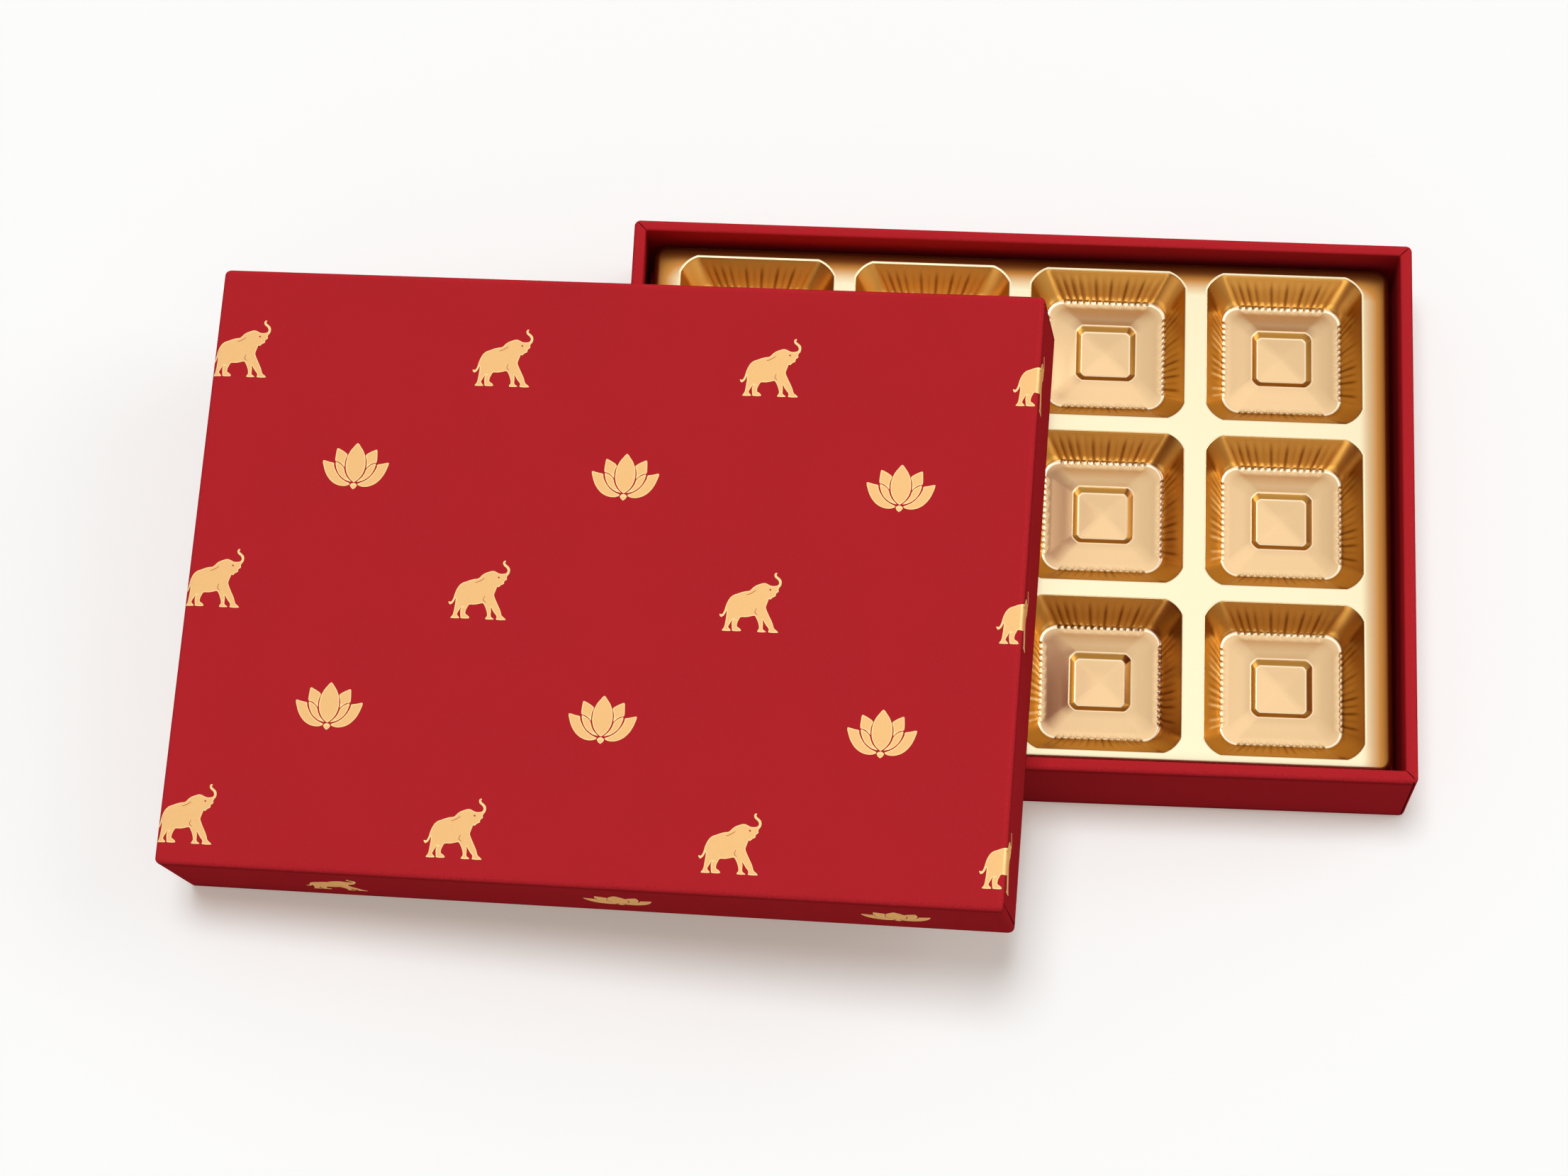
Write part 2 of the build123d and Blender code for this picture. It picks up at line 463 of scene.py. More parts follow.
def mesh_from(
    name: str,
    points: np.ndarray,
    faces: Iterable[Sequence[int]],
    marks: dict[str, np.ndarray] | None = None,
) -> bpy.types.Mesh:
    """A mesh from points in metres, its faces, and one value per point for each attribute."""
    mesh = bpy.data.meshes.new(name)
    mesh.from_pydata([tuple(point) for point in points], [], [tuple(face) for face in faces])
    for title, values in (marks or {}).items():
        layer = mesh.attributes.new(title, "FLOAT", "POINT")
        layer.data.foreach_set("value", np.asarray(values, np.float32))
    mesh.validate()
    return mesh


@contextmanager
def opened(mesh: bpy.types.Mesh) -> Iterator[bmesh.types.BMesh]:
    """The mesh's points and faces for bmesh to change, written back at the end."""
    work = bmesh.new()
    work.from_mesh(mesh)
    yield work
    work.to_mesh(mesh)
    work.free()


def between(first: float, second: float, share: float) -> float:
    """The value at this share of the way from the first to the second."""
    return first + (second - first) * share


def thicken(
    piece: bpy.types.Object, thickness: float, degrees: float, offset: float = -1.0
) -> bpy.types.Object:
    """Turn a one-sided skin into a thin solid.

    Args:
        piece: The object whose mesh is the skin.
        thickness: How thick the solid is, in millimetres.
        degrees: The angle past which an edge stays sharp.
        offset: -1 where the skin is the solid's front, 1 where it is its back.

    Returns:
        The same object, with its new mesh.
    """
    solid = piece.modifiers.new("thickness", "SOLIDIFY")
    solid.thickness = thickness * MM
    solid.offset = offset
    solid.use_rim = True
    graph = bpy.context.evaluated_depsgraph_get()
    mesh = bpy.data.meshes.new_from_object(piece.evaluated_get(graph))
    piece.modifiers.remove(solid)
    skin, piece.data = piece.data, mesh
    bpy.data.meshes.remove(skin)
    mesh.name = piece.name
    mesh.shade_smooth()
    mesh.set_sharp_from_angle(angle=math.radians(degrees))
    return piece


def declare(piece: bpy.types.Object, body: Body, slot: Slot, *nodes: str) -> None:
    """Attach a piece to the body that it rides on, and hide the CAD nodes that it stands for."""
    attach(piece, body.value)
    if nodes:
        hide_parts(*nodes)
    LOG.info("%s rides on %s", piece.name, body.value)


def ring_faces(rings: int, count: int, base: int = 0) -> list[tuple[int, int, int, int]]:
    """The four-sided faces between rings of as many points each, numbered from base."""
    faces = []
    for row in range(rings - 1):
        here, above = base + row * count, base + (row + 1) * count
        for spot in range(count):
            after = (spot + 1) % count
            faces.append((here + spot, here + after, above + after, above + spot))
    return faces


def corner_spot(half_a: float, half_b: float, radius: float, step: float) -> tuple[float, float]:
    """A point round one corner of a rounded rectangle, the one at (+half_a, +half_b).

    Args:
        half_a: Half the length along X.
        half_b: Half the length along Y.
        radius: The corner's radius.
        step: The distance along the line from the corner's diagonal, below 0 towards the
            side that faces Y and above 0 towards the side that faces X.

    Returns:
        The point.
    """
    along = min(abs(step), radius * math.pi / 4)
    beyond = abs(step) - along
    angle = math.pi / 4 - math.copysign(along / radius, step)
    x = half_a - radius + radius * math.cos(angle)
    y = half_b - radius + radius * math.sin(angle)
    return (x - beyond, y) if step < 0 else (x, y - beyond)


@dataclass
class Turn:
    """One row of a shell's profile: where a ring of the skin lies and what marks it."""

    inset: float
    height: float
    corner: float
    lean: tuple[float, float]
    mitre: float = 0.0
    seam: float = 0.0
    # Wear and painted sheen on rounded edges.
    edge: float = 0.0
    # Painted shade on the half of a rounded edge that turns into the wall.
    fold: float = 0.0


@dataclass
class PaperShell:
    """The wrapping paper of a box of board, in one skin from its closed face to its turn-in.

    The skin is a stack of rings. Each follows the box's outline at one place of the
    profile: across the closed face, round its edge, along the wall, over the rim and
    down the inside. Heights are measured from the closed face.
    """

    name: str
    length: float
    width: float
    depth: float
    wall: float
    turn_in: float
    side: OpenSide
    turn_under: float | None = None
    edge_radius: float = 1.8
    edge_margins: tuple[float, float] = (0.3, 0.25)
    rim_radius: float = 0.75
    rim_margin: float = 0.2
    # Wear and painted sheen on the rim's inner roll.
    rim_wear_and_sheen: float = 0.6
    inside_corner: float = 0.35
    paper: float = 0.3
    sharp_degrees: float = 50.0
    mitre_half: float = 0.2
    mitre_depth: float = 0.26
    seam_centre: float = -0.75
    seam_half: tuple[float, float] = (0.3, 0.3)
    seam_depth: float = 0.05
    # Painted shade on each rounded edge's half next to the wall, fading out along the wall over
    # fold_reach.
    fold: float = 0.22
    fold_reach: float = 2.0
    face_insets: tuple[float, ...] = (14.0, 5.0)
    corner_steps: tuple[float, ...] = (
        -9.0, -4.0, -2.4, -1.3, -0.4, 0.0, 0.5, 0.9, 1.3, 2.7, 4.5, 9.0,
    )
    turn_in_shares: tuple[float, ...] = (0.12, 0.5, 1.0)
    arc_steps: int = 7
    wall_steps: int = 7
    side_steps: int = 12
    tightest: float = 0.05

    def edge_turn(self, share: float, side: int) -> Turn:
        """One row of a rounded edge.

        Args:
            share: How far round it is, from 0 at the flat face to 1 at the wall.
            side: 1 at the closed face, -1 at the open one.

        Returns:
            The row.
        """
        sine, cosine = math.sin(QUARTER * share), math.cos(QUARTER * share)
        inset = self.edge_radius * (1 - sine)
        height = self.edge_radius * (1 - cosine)
        seam = max(0.0, 2 * share - 1)
        return Turn(
            inset,
            height if side > 0 else self.depth - height,
            max(self.edge_radius - inset, self.tightest),
            (sine, side * cosine),
            mitre=max(0.0, 1 - 2 * share) if side < 0 else 0.0,
            seam=seam,
            # Wear and painted sheen, strongest halfway round the edge.
            edge=2 * sine * cosine,
            # Painted shade, growing towards the wall.
            fold=self.fold * seam,
        )

    def profile(self) -> list[Turn]:
        """The rows from the closed face to the end of the turn-in."""
        edge, rim, tight = self.edge_radius, self.rim_radius, self.tightest
        shares = [step / self.arc_steps for step in range(self.arc_steps + 1)]
        starts = self.face_insets if self.turn_under is None else (self.turn_under,)
        insets = (*starts, edge + self.edge_margins[0])
        rows = [Turn(inset, 0.0, tight, (0.0, 1.0)) for inset in insets]
        rows += [self.edge_turn(share, 1) for share in shares]
        low, high = edge + self.fold_reach, self.depth - edge - self.fold_reach
        for step in range(self.wall_steps + 1):
            height = low + (high - low) * step / self.wall_steps
            rows.append(Turn(0.0, height, edge, (1.0, 0.0), seam=1.0))
        rows += [self.edge_turn(1 - share, -1) for share in shares]
        flat_end = self.wall - rim
        for inset in (edge + self.edge_margins[1], flat_end - self.rim_margin):
            rows.append(Turn(inset, self.depth, tight, (0.0, -1.0), mitre=1.0))
        for share in shares:
            sine, cosine = math.sin(QUARTER * share), math.cos(QUARTER * share)
            inset, height = flat_end + rim * sine, self.depth - rim * (1 - cosine)
            corner = tight + (self.inside_corner - tight) * sine
            # Wear and painted sheen on the rim's roll.
            rim_wear_and_sheen_mark = self.rim_wear_and_sheen * 2 * sine * cosine
            rows.append(Turn(inset, height, corner, (-sine, -cosine), 1 - share, edge=rim_wear_and_sheen_mark))
        for share in self.turn_in_shares:
            height = self.depth - rim - (self.turn_in - rim) * share
            rows.append(Turn(self.wall, height, self.inside_corner, (-1.0, 0.0)))
        return rows

    def corner(self, turn: Turn) -> np.ndarray:
        """One row's points round the corner at (+X, +Y), with their seam-and-fold-shade and edge
        wear-and-sheen values.
        """
        half = between(*self.seam_half, turn.height / self.depth)
        mitre, seam = self.mitre_half, self.seam_centre
        points = []
        for step in sorted([*self.corner_steps, -mitre, mitre, seam - half, seam, seam + half]):
            cut = turn.mitre * max(0.0, 1 - abs(step) / mitre)
            split = turn.seam * max(0.0, 1 - abs(step - seam) / half)
            sink = cut * self.mitre_depth + split * self.seam_depth
            inset = turn.inset + sink * turn.lean[0]
            radius = turn.corner
            if turn.lean[0] >= 0:
                radius = max(radius - sink * turn.lean[0], self.tightest)
            spot = corner_spot(self.length / 2 - inset, self.width / 2 - inset, radius, step)
            height = turn.height + sink * turn.lean[1]
            points.append((*spot, height, max(cut, split, turn.fold), turn.edge))
        return np.array(points)

    def ring(self, turn: Turn) -> np.ndarray:
        """One ring of the skin.

        Args:
            turn: The profile's row.

        Returns:
            A row for each point: its place, its seam-and-fold-shade value and its edge
                wear-and-sheen value,
            counter-clockwise from the front right corner when seen from the open side.
        """
        corner = self.corner(turn)
        walks = []
        for sign_x, sign_y in ((1, -1), (1, 1), (-1, 1), (-1, -1)):
            part = corner * (sign_x, sign_y, 1, 1, 1)
            walks.append(part if sign_x * sign_y < 0 else part[::-1])
        line = []
        for part, following in zip(walks, walks[1:] + walks[:1]):
            run = (following[0] - part[-1])[None, :]
            line.append(part)
            line += [part[-1] + run * step / self.side_steps for step in range(1, self.side_steps)]
        return np.concatenate(line)

    def build(self, place: Matrix, material: bpy.types.Material) -> bpy.types.Object:
        """Make the skin.

        Args:
            place: Takes the box's own frame, in metres, to the row's frame. The box's
                own frame has its centre on the Z axis and its closed face at height 0,
                with the rim above it.
            material: The paper.

        Returns:
            The finished object, with the paper's thickness behind the skin.
        """
        rings = [self.ring(turn) for turn in self.profile()]
        count = len(rings[0])
        table = np.concatenate(rings)
        points = table[:, :3] * MM * (1, 1, self.side.value)
        faces: list[tuple[int, ...]] = list(ring_faces(len(rings), count))
        if self.turn_under is None:
            faces.append(tuple(reversed(range(count))))
        if self.side is OpenSide.DOWN:
            faces = [face[::-1] for face in faces]
        # Seam and mitre lines with painted fold shade, and edge wear with painted sheen.
        marks = {"crease": table[:, 3], "edge": table[:, 4]}
        mesh = mesh_from(self.name, points, faces, marks)
        mesh.transform(place)
        return thicken(link_mesh(self.name, mesh, material), self.paper, self.sharp_degrees)


@dataclass
class LeaningLid:
    """Where the leaning lid is, read from its wrapping paper in the frame."""

    along: Vector
    across: Vector
    up: Vector
    origin: Vector
    length: float
    width: float
    depth: float

    @classmethod
    def from_frame(cls, node: bpy.types.Object, level: float = 0.02) -> "LeaningLid":
        """Find the lid's own axes and size.

        Args:
            node: The CAD node of the lid's wrapping paper.
            level: The most that a wall's direction may have of the top's.

        Returns:
            The lid's place: its origin is its front left corner on its open face.
        """
        node.data.calc_loop_triangles()
        spots = np.array([vertex.co for vertex in node.data.vertices])
        corners = np.array([triangle.vertices for triangle in node.data.loop_triangles])
        first, second, third = (spots[corners[:, place]] for place in range(3))
        crosses = np.cross(second - first, third - first)
        areas = np.linalg.norm(crosses, axis=1)
        normals = crosses / np.maximum(areas, 1e-15)[:, None]

        def strongest(allowed: np.ndarray) -> Vector:
            """The direction that the most area of the allowed faces looks in."""
            _, group = np.unique(np.round(normals[allowed], 2), axis=0, return_inverse=True)
            best = group.ravel() == np.bincount(group.ravel(), areas[allowed]).argmax()
            return Vector(crosses[allowed][best].sum(0)).normalized()

        up = strongest(np.ones(len(areas), bool))
        up = up if up.z > 0 else -up
        across = strongest(np.abs(normals @ np.array(up)) < level)
        across = across if across.y > 0 else -across
        along = across.cross(up).normalized()
        reach = np.stack([spots @ np.array(axis) for axis in (along, across, up)])
        low, high = (side.tolist() for side in (reach.min(1), reach.max(1)))
        origin = along * low[0] + across * low[1] + up * low[2]
        size = [(end - start) / MM for start, end in zip(low, high)]
        return cls(along, across, up, origin, *size)

    def matrix(self, x: float, y: float, z: float) -> Matrix:
        """Takes a frame at this point of the lid, in the lid's directions, to the row's frame."""
        at = self.origin + (self.along * x + self.across * y + self.up * z) * MM
        turn = Matrix((self.along, self.across, self.up)).transposed().to_4x4()
        return Matrix.Translation(at) @ turn


def lattice_tree() -> bpy.types.NodeTree:
    """A Geometry Nodes tree that repeats its geometry on a lattice and gives it a material."""
    tree = bpy.data.node_groups.new("repeat_on_lattice", "GeometryNodeTree")
    sockets = (
        ("Geometry", "INPUT", "Geometry"),
        ("Count Along", "INPUT", "Int"),
        ("Count Across", "INPUT", "Int"),
        ("Pitch Along", "INPUT", "Float"),
        ("Pitch Across", "INPUT", "Float"),
        ("Centre", "INPUT", "Vector"),
        ("Material", "INPUT", "Material"),
        ("Geometry", "OUTPUT", "Geometry"),
    )
    for title, way, kind in sockets:
        tree.interface.new_socket(title, in_out=way, socket_type=f"NodeSocket{kind}")
    bench = Bench(tree)
    given = bench.node("NodeGroupInput").sibling

    def made(kind: str, **inputs: Wire) -> Wire:
        """One geometry node."""
        return bench.node(f"GeometryNode{kind}", None, inputs)

    lines = []
    for direction, axis in (("Along", "X"), ("Across", "Y")):
        count, pitch = given(f"Count {direction}"), given(f"Pitch {direction}")
        start = bench.node("ShaderNodeCombineXYZ", None, {axis: (1 - count) * pitch * 0.5})
        offset = bench.node("ShaderNodeCombineXYZ", None, {axis: pitch})
        inputs = {"Count": count, "Start Location": start, "Offset": offset}
        lines.append(bench.node("GeometryNodeMeshLine", {"mode": "OFFSET"}, inputs))
    rows = made("InstanceOnPoints", Points=lines[1], Instance=lines[0])
    spots = made("RealizeInstances", Geometry=rows)
    copies = made("InstanceOnPoints", Points=spots, Instance=given("Geometry"))
    placed = made("Transform", Geometry=copies, Translation=given("Centre"))
    real = made("RealizeInstances", Geometry=placed)
    dressed = made("SetMaterial", Geometry=real, Material=given("Material"))
    bench.node("NodeGroupOutput", None, {"Geometry": dressed})
    return tree


@dataclass
class Lattice:
    """How many copies of a shape there are, how far apart, and where their middle is."""

    along: int
    across: int
    pitch_along: float
    pitch_across: float
    centre: Spot

    def repeat(
        self, mesh: bpy.types.Mesh, tree: bpy.types.NodeTree, material: bpy.types.Material
    ) -> bpy.types.Mesh:
        """Repeat a mesh on the lattice and return the result as one plain mesh."""
        source = bpy.data.objects.new("lattice_source", mesh)
        bpy.context.scene.collection.objects.link(source)
        modifier = source.modifiers.new("lattice", "NODES")
        modifier.node_group = tree
        values = {
            "Count Along": self.along,
            "Count Across": self.across,
            "Pitch Along": self.pitch_along * MM,
            "Pitch Across": self.pitch_across * MM,
            "Centre": [part * MM for part in self.centre],
            "Material": material,
        }
        for item in tree.interface.items_tree:
            if item.item_type == "SOCKET" and item.in_out == "INPUT" and item.name in values:
                modifier[item.identifier] = values[item.name]
        graph = bpy.context.evaluated_depsgraph_get()
        result = bpy.data.meshes.new_from_object(source.evaluated_get(graph))
        source.modifiers.remove(modifier)
        bpy.data.objects.remove(source)
        return result


def inside_loops(points: np.ndarray, loops: Iterable[np.ndarray]) -> np.ndarray:
    """Whether each point lies inside the shape that closed loops bound, by crossing parity."""
    inside = np.zeros(len(points), bool)
    for loop in loops:
        following = np.roll(loop, -1, axis=0)
        for (x0, y0), (x1, y1) in zip(loop, following):
            if y0 == y1:
                continue
            spans = (points[:, 1] >= min(y0, y1)) & (points[:, 1] < max(y0, y1))
            crossing = x0 + (points[:, 1] - y0) * (x1 - x0) / (y1 - y0)
            inside ^= spans & (points[:, 0] < crossing)
    return inside


def clearance(points: np.ndarray, loops: Iterable[np.ndarray]) -> np.ndarray:
    """How far each point is from the nearest loop."""
    nearest = np.full(len(points), np.inf)
    for loop in loops:
        following = np.roll(loop, -1, axis=0)
        for start, end in zip(loop, following):
            run = end - start
            share = np.clip((points - start) @ run / max(run @ run, 1e-12), 0, 1)
            gap = np.linalg.norm(points - start - share[:, None] * run, axis=1)
            nearest = np.minimum(nearest, gap)
    return nearest


def fill_loops(
    loops: Sequence[np.ndarray],
    extra: np.ndarray | None = None,
    joined: float = 1e-7,
) -> tuple[np.ndarray, list[tuple[int, int, int]]]:
    """Triangles that fill closed loops, holes left open.

    Args:
        loops: The closed loops, each a list of points in the plane.
        extra: More points for the triangles to use.
        joined: How near two points are taken as one.

    Returns:
        The points in the plane and the triangles, which look along +Z.
    """
    spots, edges = [], []
    for loop in loops:
        base = len(spots)
        spots += [Vector(spot) for spot in loop]
        edges += [(base + place, base + (place + 1) % len(loop)) for place in range(len(loop))]
    if extra is not None:
        spots += [Vector(spot) for spot in extra]
    made, _, faces, *_ = delaunay_2d_cdt(spots, edges, [], 0, joined)
    points = np.array(made)
    corners = np.array(faces)
    kept = inside_loops(points[corners].mean(1), loops)
    corners = corners[kept]
    first, second, third = (points[corners[:, place]] for place in range(3))
    turn = np.cross(second - first, third - first)
    corners[turn < 0] = corners[turn < 0][:, ::-1]
    return points, [tuple(int(part) for part in corner) for corner in corners]


@dataclass(frozen=True)
class Level:
    """One level of a cup: its half sizes, corners, depth, and what stands up from it."""

    half_a: float
    half_b: float
    corner: float
    flat: float
    depth: float
    raised: float = 0.0
    lean: tuple[float, float] = (0.0, 0.0)
    fine: bool = False
    # The last four marks paint the gold: its lit or shaded tone, painted highlight and painted
    # shade in the grooves.
    wall: float = 0.0
    floor: float = 0.0
    shine: float = 0.0
    painted_groove: float = 0.0


def four_sides(
    half_a: float, half_b: float, side: Callable[[float, float], np.ndarray]
) -> np.ndarray:
    """A closed line round a rectangle, counter-clockwise from the foot of its right side.

    Args:
        half_a: Half the length along X.
        half_b: Half the length along Y.
        side: Draws a side and the corner after it as if it were the right side, from how
            far out it is and half its length.

    Returns:
        The points.
    """
    line = []
    for turn in range(4):
        out, reach = (half_a, half_b) if turn % 2 == 0 else (half_b, half_a)
        cosine, sine = round(math.cos(turn * QUARTER)), round(math.sin(turn * QUARTER))
        line.append(side(out, reach) @ np.array([[cosine, sine], [-sine, cosine]]))
    return np.concatenate(line)


@dataclass
class Cup:
    """One cup of the insert, in rings from its lip down to the bottom of its recess.

    Its walls carry fine pleats between plain corners. Each pleat ends in a bead that
    stands in the bend between wall and floor. Highlights and shade are painted on
    lip, pleats, beads and recess through a shine mark.
    """

    mouth: tuple[float, float] = (46.0, 47.0)
    mouth_corner: float = 4.8
    mouth_flat: float = 0.5
    depth: float = 9.6
    floor: tuple[float, float] = (35.0, 34.4)
    floor_corner: float = 4.2
    floor_flat: float = 0.25
    floor_steps: int = 4
    tightest: float = 0.5
    lip: float = 0.5
    lip_radius: float = 0.5
    # Painted highlight and shade round the lip's roll.
    lip_shine: tuple[float, ...] = (0.0, 0.0, 0.1, 0.0, -0.4, -0.4)
    foot_radius: float = 1.4
    pillow: float = 1.6
    recess_mouth: float = 17.6
    recess_floor: float = 14.2
    recess_corner: float = 1.9
    recess_flat: float = 0.6
    recess_depth: float = 1.0
    recess_ridge: float = 0.2
    recess_pillow: float = 0.7
    rim_width: float = 0.8
    rim_corner: float = 0.4
    pleats: int = 13
    pleat_share: float = 0.94
    pleat_height: float = 0.07
    pleat_start: float = 1.0
    pleat_end: float = 0.25
    pleat_steps: int = 6
    # Painted shade in the pleats' valleys; it also scales the painted streaks.
    pleat_painted_groove: float = 0.75
    pleat_spread: float = 0.6
    # How much weaker the painted shade of some valleys is.
    painted_groove_spread: float = 0.85
    # Painted highlight on the plain corners.
    corner_glint: float = 0.6
    # Painted bright streaks and a lighter or darker painted tone for each side's wall: right, back,
    # left, front.
    painted_streaks: tuple[float, ...] = (0.4, 0.0, 0.7, 0.4)
    painted_side_tones: tuple[float, ...] = (-0.2, -0.25, 0.1, 0.0)
    pleat_seed: int = 7
    pleat_fade: float = 3.4
    bead_height: float = 0.55
    bead_swell: tuple[float, float] = (0.6, 8.2)
    # Painted highlight on the beads and painted shade above them, with painted shade in the valleys
    # between them.
    bend_shine: tuple[float, ...] = (-0.6, -0.5, 0.2, 1.0, 1.4, 1.4, 1.0, 0.2)
    bend_painted_groove: tuple[float, ...] = (1.0, 1.0, 1.0, 1.0, 0.9, 0.7, 0.4, 0.0)
    pleat_samples: int = 6
    plain_samples: int = 2
    corner_samples: int = 6

    @property
    def slope(self) -> float:
        """The wall's mean angle from level."""
        run = (self.mouth[0] - self.floor[0] + self.mouth[1] - self.floor[1]) / 4
        return math.atan2(self.depth, run)

    @property
    def zone(self) -> int:
        """How many samples the pleats of one side take."""
        return self.pleats * self.pleat_samples

    def outline(self, level: Level) -> np.ndarray:
        """The points of one level in the plane, counter-clockwise, as many for every level."""
        ends = np.linspace(-1, -self.pleat_share, self.plain_samples + 1)[:-1]
        middle = np.linspace(-self.pleat_share, self.pleat_share, self.zone + 1)
        shares = np.concatenate([ends, middle, -ends[::-1]])
        angles = np.linspace(0, QUARTER, self.corner_samples + 1)[1:-1]
        arc = np.stack([np.cos(angles), np.sin(angles)], 1)
        cut = np.stack([1 - angles / QUARTER, angles / QUARTER], 1)
        bend = (1 - level.flat) * arc + level.flat * cut

        def side(out: float, reach: float) -> np.ndarray:
            """The right side, then the corner."""
            straight = np.stack([np.full(len(shares), out), shares * (reach - level.corner)], 1)
            corner = np.array([out, reach]) - level.corner + level.corner * bend
            return np.concatenate([straight, corner])

        return four_sides(level.half_a, level.half_b, side)

    def along(self, zones: Iterable[np.ndarray], fill: float) -> np.ndarray:
        """A value for each point of an outline: one array for each side's pleats, else fill."""
        plain = np.full(self.plain_samples, fill)
        corner = np.full(self.corner_samples - 1, fill)
        return np.concatenate([part for zone in zones for part in (plain, zone, plain, corner)])

    def pleat_wave(self) -> np.ndarray:
        """How far up its pleat each point of an outline is, from 0 to 1."""
        wave = np.sin(np.pi * np.arange(self.zone + 1) / self.pleat_samples) ** 2
        return self.along([wave] * 4, 0.0)

    def by_side(self, values: Sequence[float]) -> np.ndarray:
        """One value on the pleats of each side, and 0 between them."""
        return self.along([np.full(self.zone + 1, value) for value in values], 0.0)

    def unevenness(self, spread: float, shift: int) -> np.ndarray:
        """How strong the pleat at each point of an outline is on the wall.

        Args:
            spread: How far the weakest pleats may be below 1.
            shift: By how many points each pleat's value is moved back.

        Returns:
            Values from 1 - spread to 1.
        """
        chance = np.random.default_rng(self.pleat_seed + shift)
        strong = 1 - spread * chance.random((4, self.pleats + 1))
        zones = np.repeat(strong, self.pleat_samples, axis=1)[:, shift : shift + self.zone + 1]
        return self.along(zones, 1.0)

    def coarse_places(self) -> list[int]:
        """The places in an outline that a plain level keeps."""
        start = self.plain_samples
        end = start + self.zone
        last = end + start
        count = last + self.corner_samples
        side = [*range(0, start, 2), *range(start, end, 2 * self.pleat_samples)]
        side += [*range(end, last + 1, 2), *range(last + 1, count)]
        return [turn * count + place for turn in range(4) for place in side]

    def wall_level(self, outward: float, depth: float, **marks: Any) -> Level:
        """A level on the way from mouth to floor, moved outward from the wall's own line."""
        share = depth / self.depth
        return Level(
            between(self.mouth[0], self.floor[0], share) / 2 + outward,
            between(self.mouth[1], self.floor[1], share) / 2 + outward,
            max(between(self.mouth_corner, self.floor_corner, share) + outward, self.tightest),
            between(self.mouth_flat, self.floor_flat, share),
            depth,
            **marks,
        )

    def lip_levels(self) -> list[Level]:
        """The level that lies in the flange, then the lip's roll into the wall."""
        slope, radius, last = self.slope, self.lip_radius, len(self.lip_shine) - 1
        tangent = radius * math.tan(slope / 2)
        found = [self.wall_level(self.lip, 0.0)]
        for step, shine in enumerate(self.lip_shine):
            angle = slope * step / last
            depth = radius * (1 - math.cos(angle))
            outward = tangent - radius * math.sin(angle) + depth / math.tan(slope)
            found.append(self.wall_level(outward, depth, wall=(step / last) ** 2, shine=shine))
        return found

    def pleat_levels(self, tangent: float) -> list[Level]:
        """The wall, whose pleats grow from below the lip, down to the bend of that tangent."""
        slope, first = self.slope, self.pleat_start
        lean = (-math.sin(slope), -math.cos(slope))
        end = self.depth - tangent * math.sin(slope) - self.pleat_end
        found = []
        for step in range(self.pleat_steps + 1):
            depth = first + (end - first) * step / self.pleat_steps
            grown = min(1.0, (depth - first) / self.pleat_fade)
            marks = {"raised": self.pleat_height * grown * grown * (3 - 2 * grown), "lean": lean}
            marks |= {"fine": True, "wall": 1.0, "painted_groove": self.pleat_painted_groove * grown}
            found.append(self.wall_level(0.0, depth, **marks))
        return found

    def bend_levels(self, tangent: float) -> list[Level]:
        """The bend between wall and floor, with the beads that stand in it."""
        radius, last = self.foot_radius, len(self.bend_shine) - 1
        start, span = self.bead_swell
        found = []
        for step, (shine, painted_groove) in enumerate(zip(self.bend_shine, self.bend_painted_groove)):
            share = step / last
            angle = self.slope * (1 - share)
            outward = radius * math.sin(angle) - tangent
            depth = self.depth - radius + radius * math.cos(angle)
            corner = max(self.floor_corner + outward, self.tightest)
            half_a, half_b = (size / 2 + outward for size in self.floor)
            bead = self.bead_height * math.sin(math.pi * (step + start) / span)
            raised = self.pleat_height * (1 - share) + bead if step < last else 0.0
            marks = {"raised": raised, "lean": (-math.sin(angle), -math.cos(angle)), "fine": True}
            marks |= {"wall": 1 - share, "floor": share, "shine": shine, "painted_groove": painted_groove}
            found.append(Level(half_a, half_b, corner, self.floor_flat, depth, **marks))
        return found

    def floor_levels(self, start: Level) -> list[Level]:
        """The pillowed floor, from the bend's last level to the rim of the recess."""
        rim = self.recess_mouth / 2 + self.rim_width
        goals = (rim, rim, self.recess_corner + self.rim_corner)
        found = []
        for step in range(1, self.floor_steps + 1):
            share = step / self.floor_steps
            starts = (start.half_a, start.half_b, start.corner)
            sizes = [between(first, second, share) for first, second in zip(starts, goals)]
            flat = between(self.floor_flat, self.recess_flat, share)
            found.append(Level(*sizes, flat, self.depth - self.pillow * share, floor=1.0))
        return found

    def recess_levels(self) -> list[Level]:
        """The square recess: a ridge round its mouth, short walls and a pillowed bottom."""
        mouth, low = self.recess_mouth / 2, self.recess_floor / 2
        ridge, pillow = self.recess_ridge, self.recess_pillow
        top = self.depth - self.pillow
        bottom = top + self.recess_depth
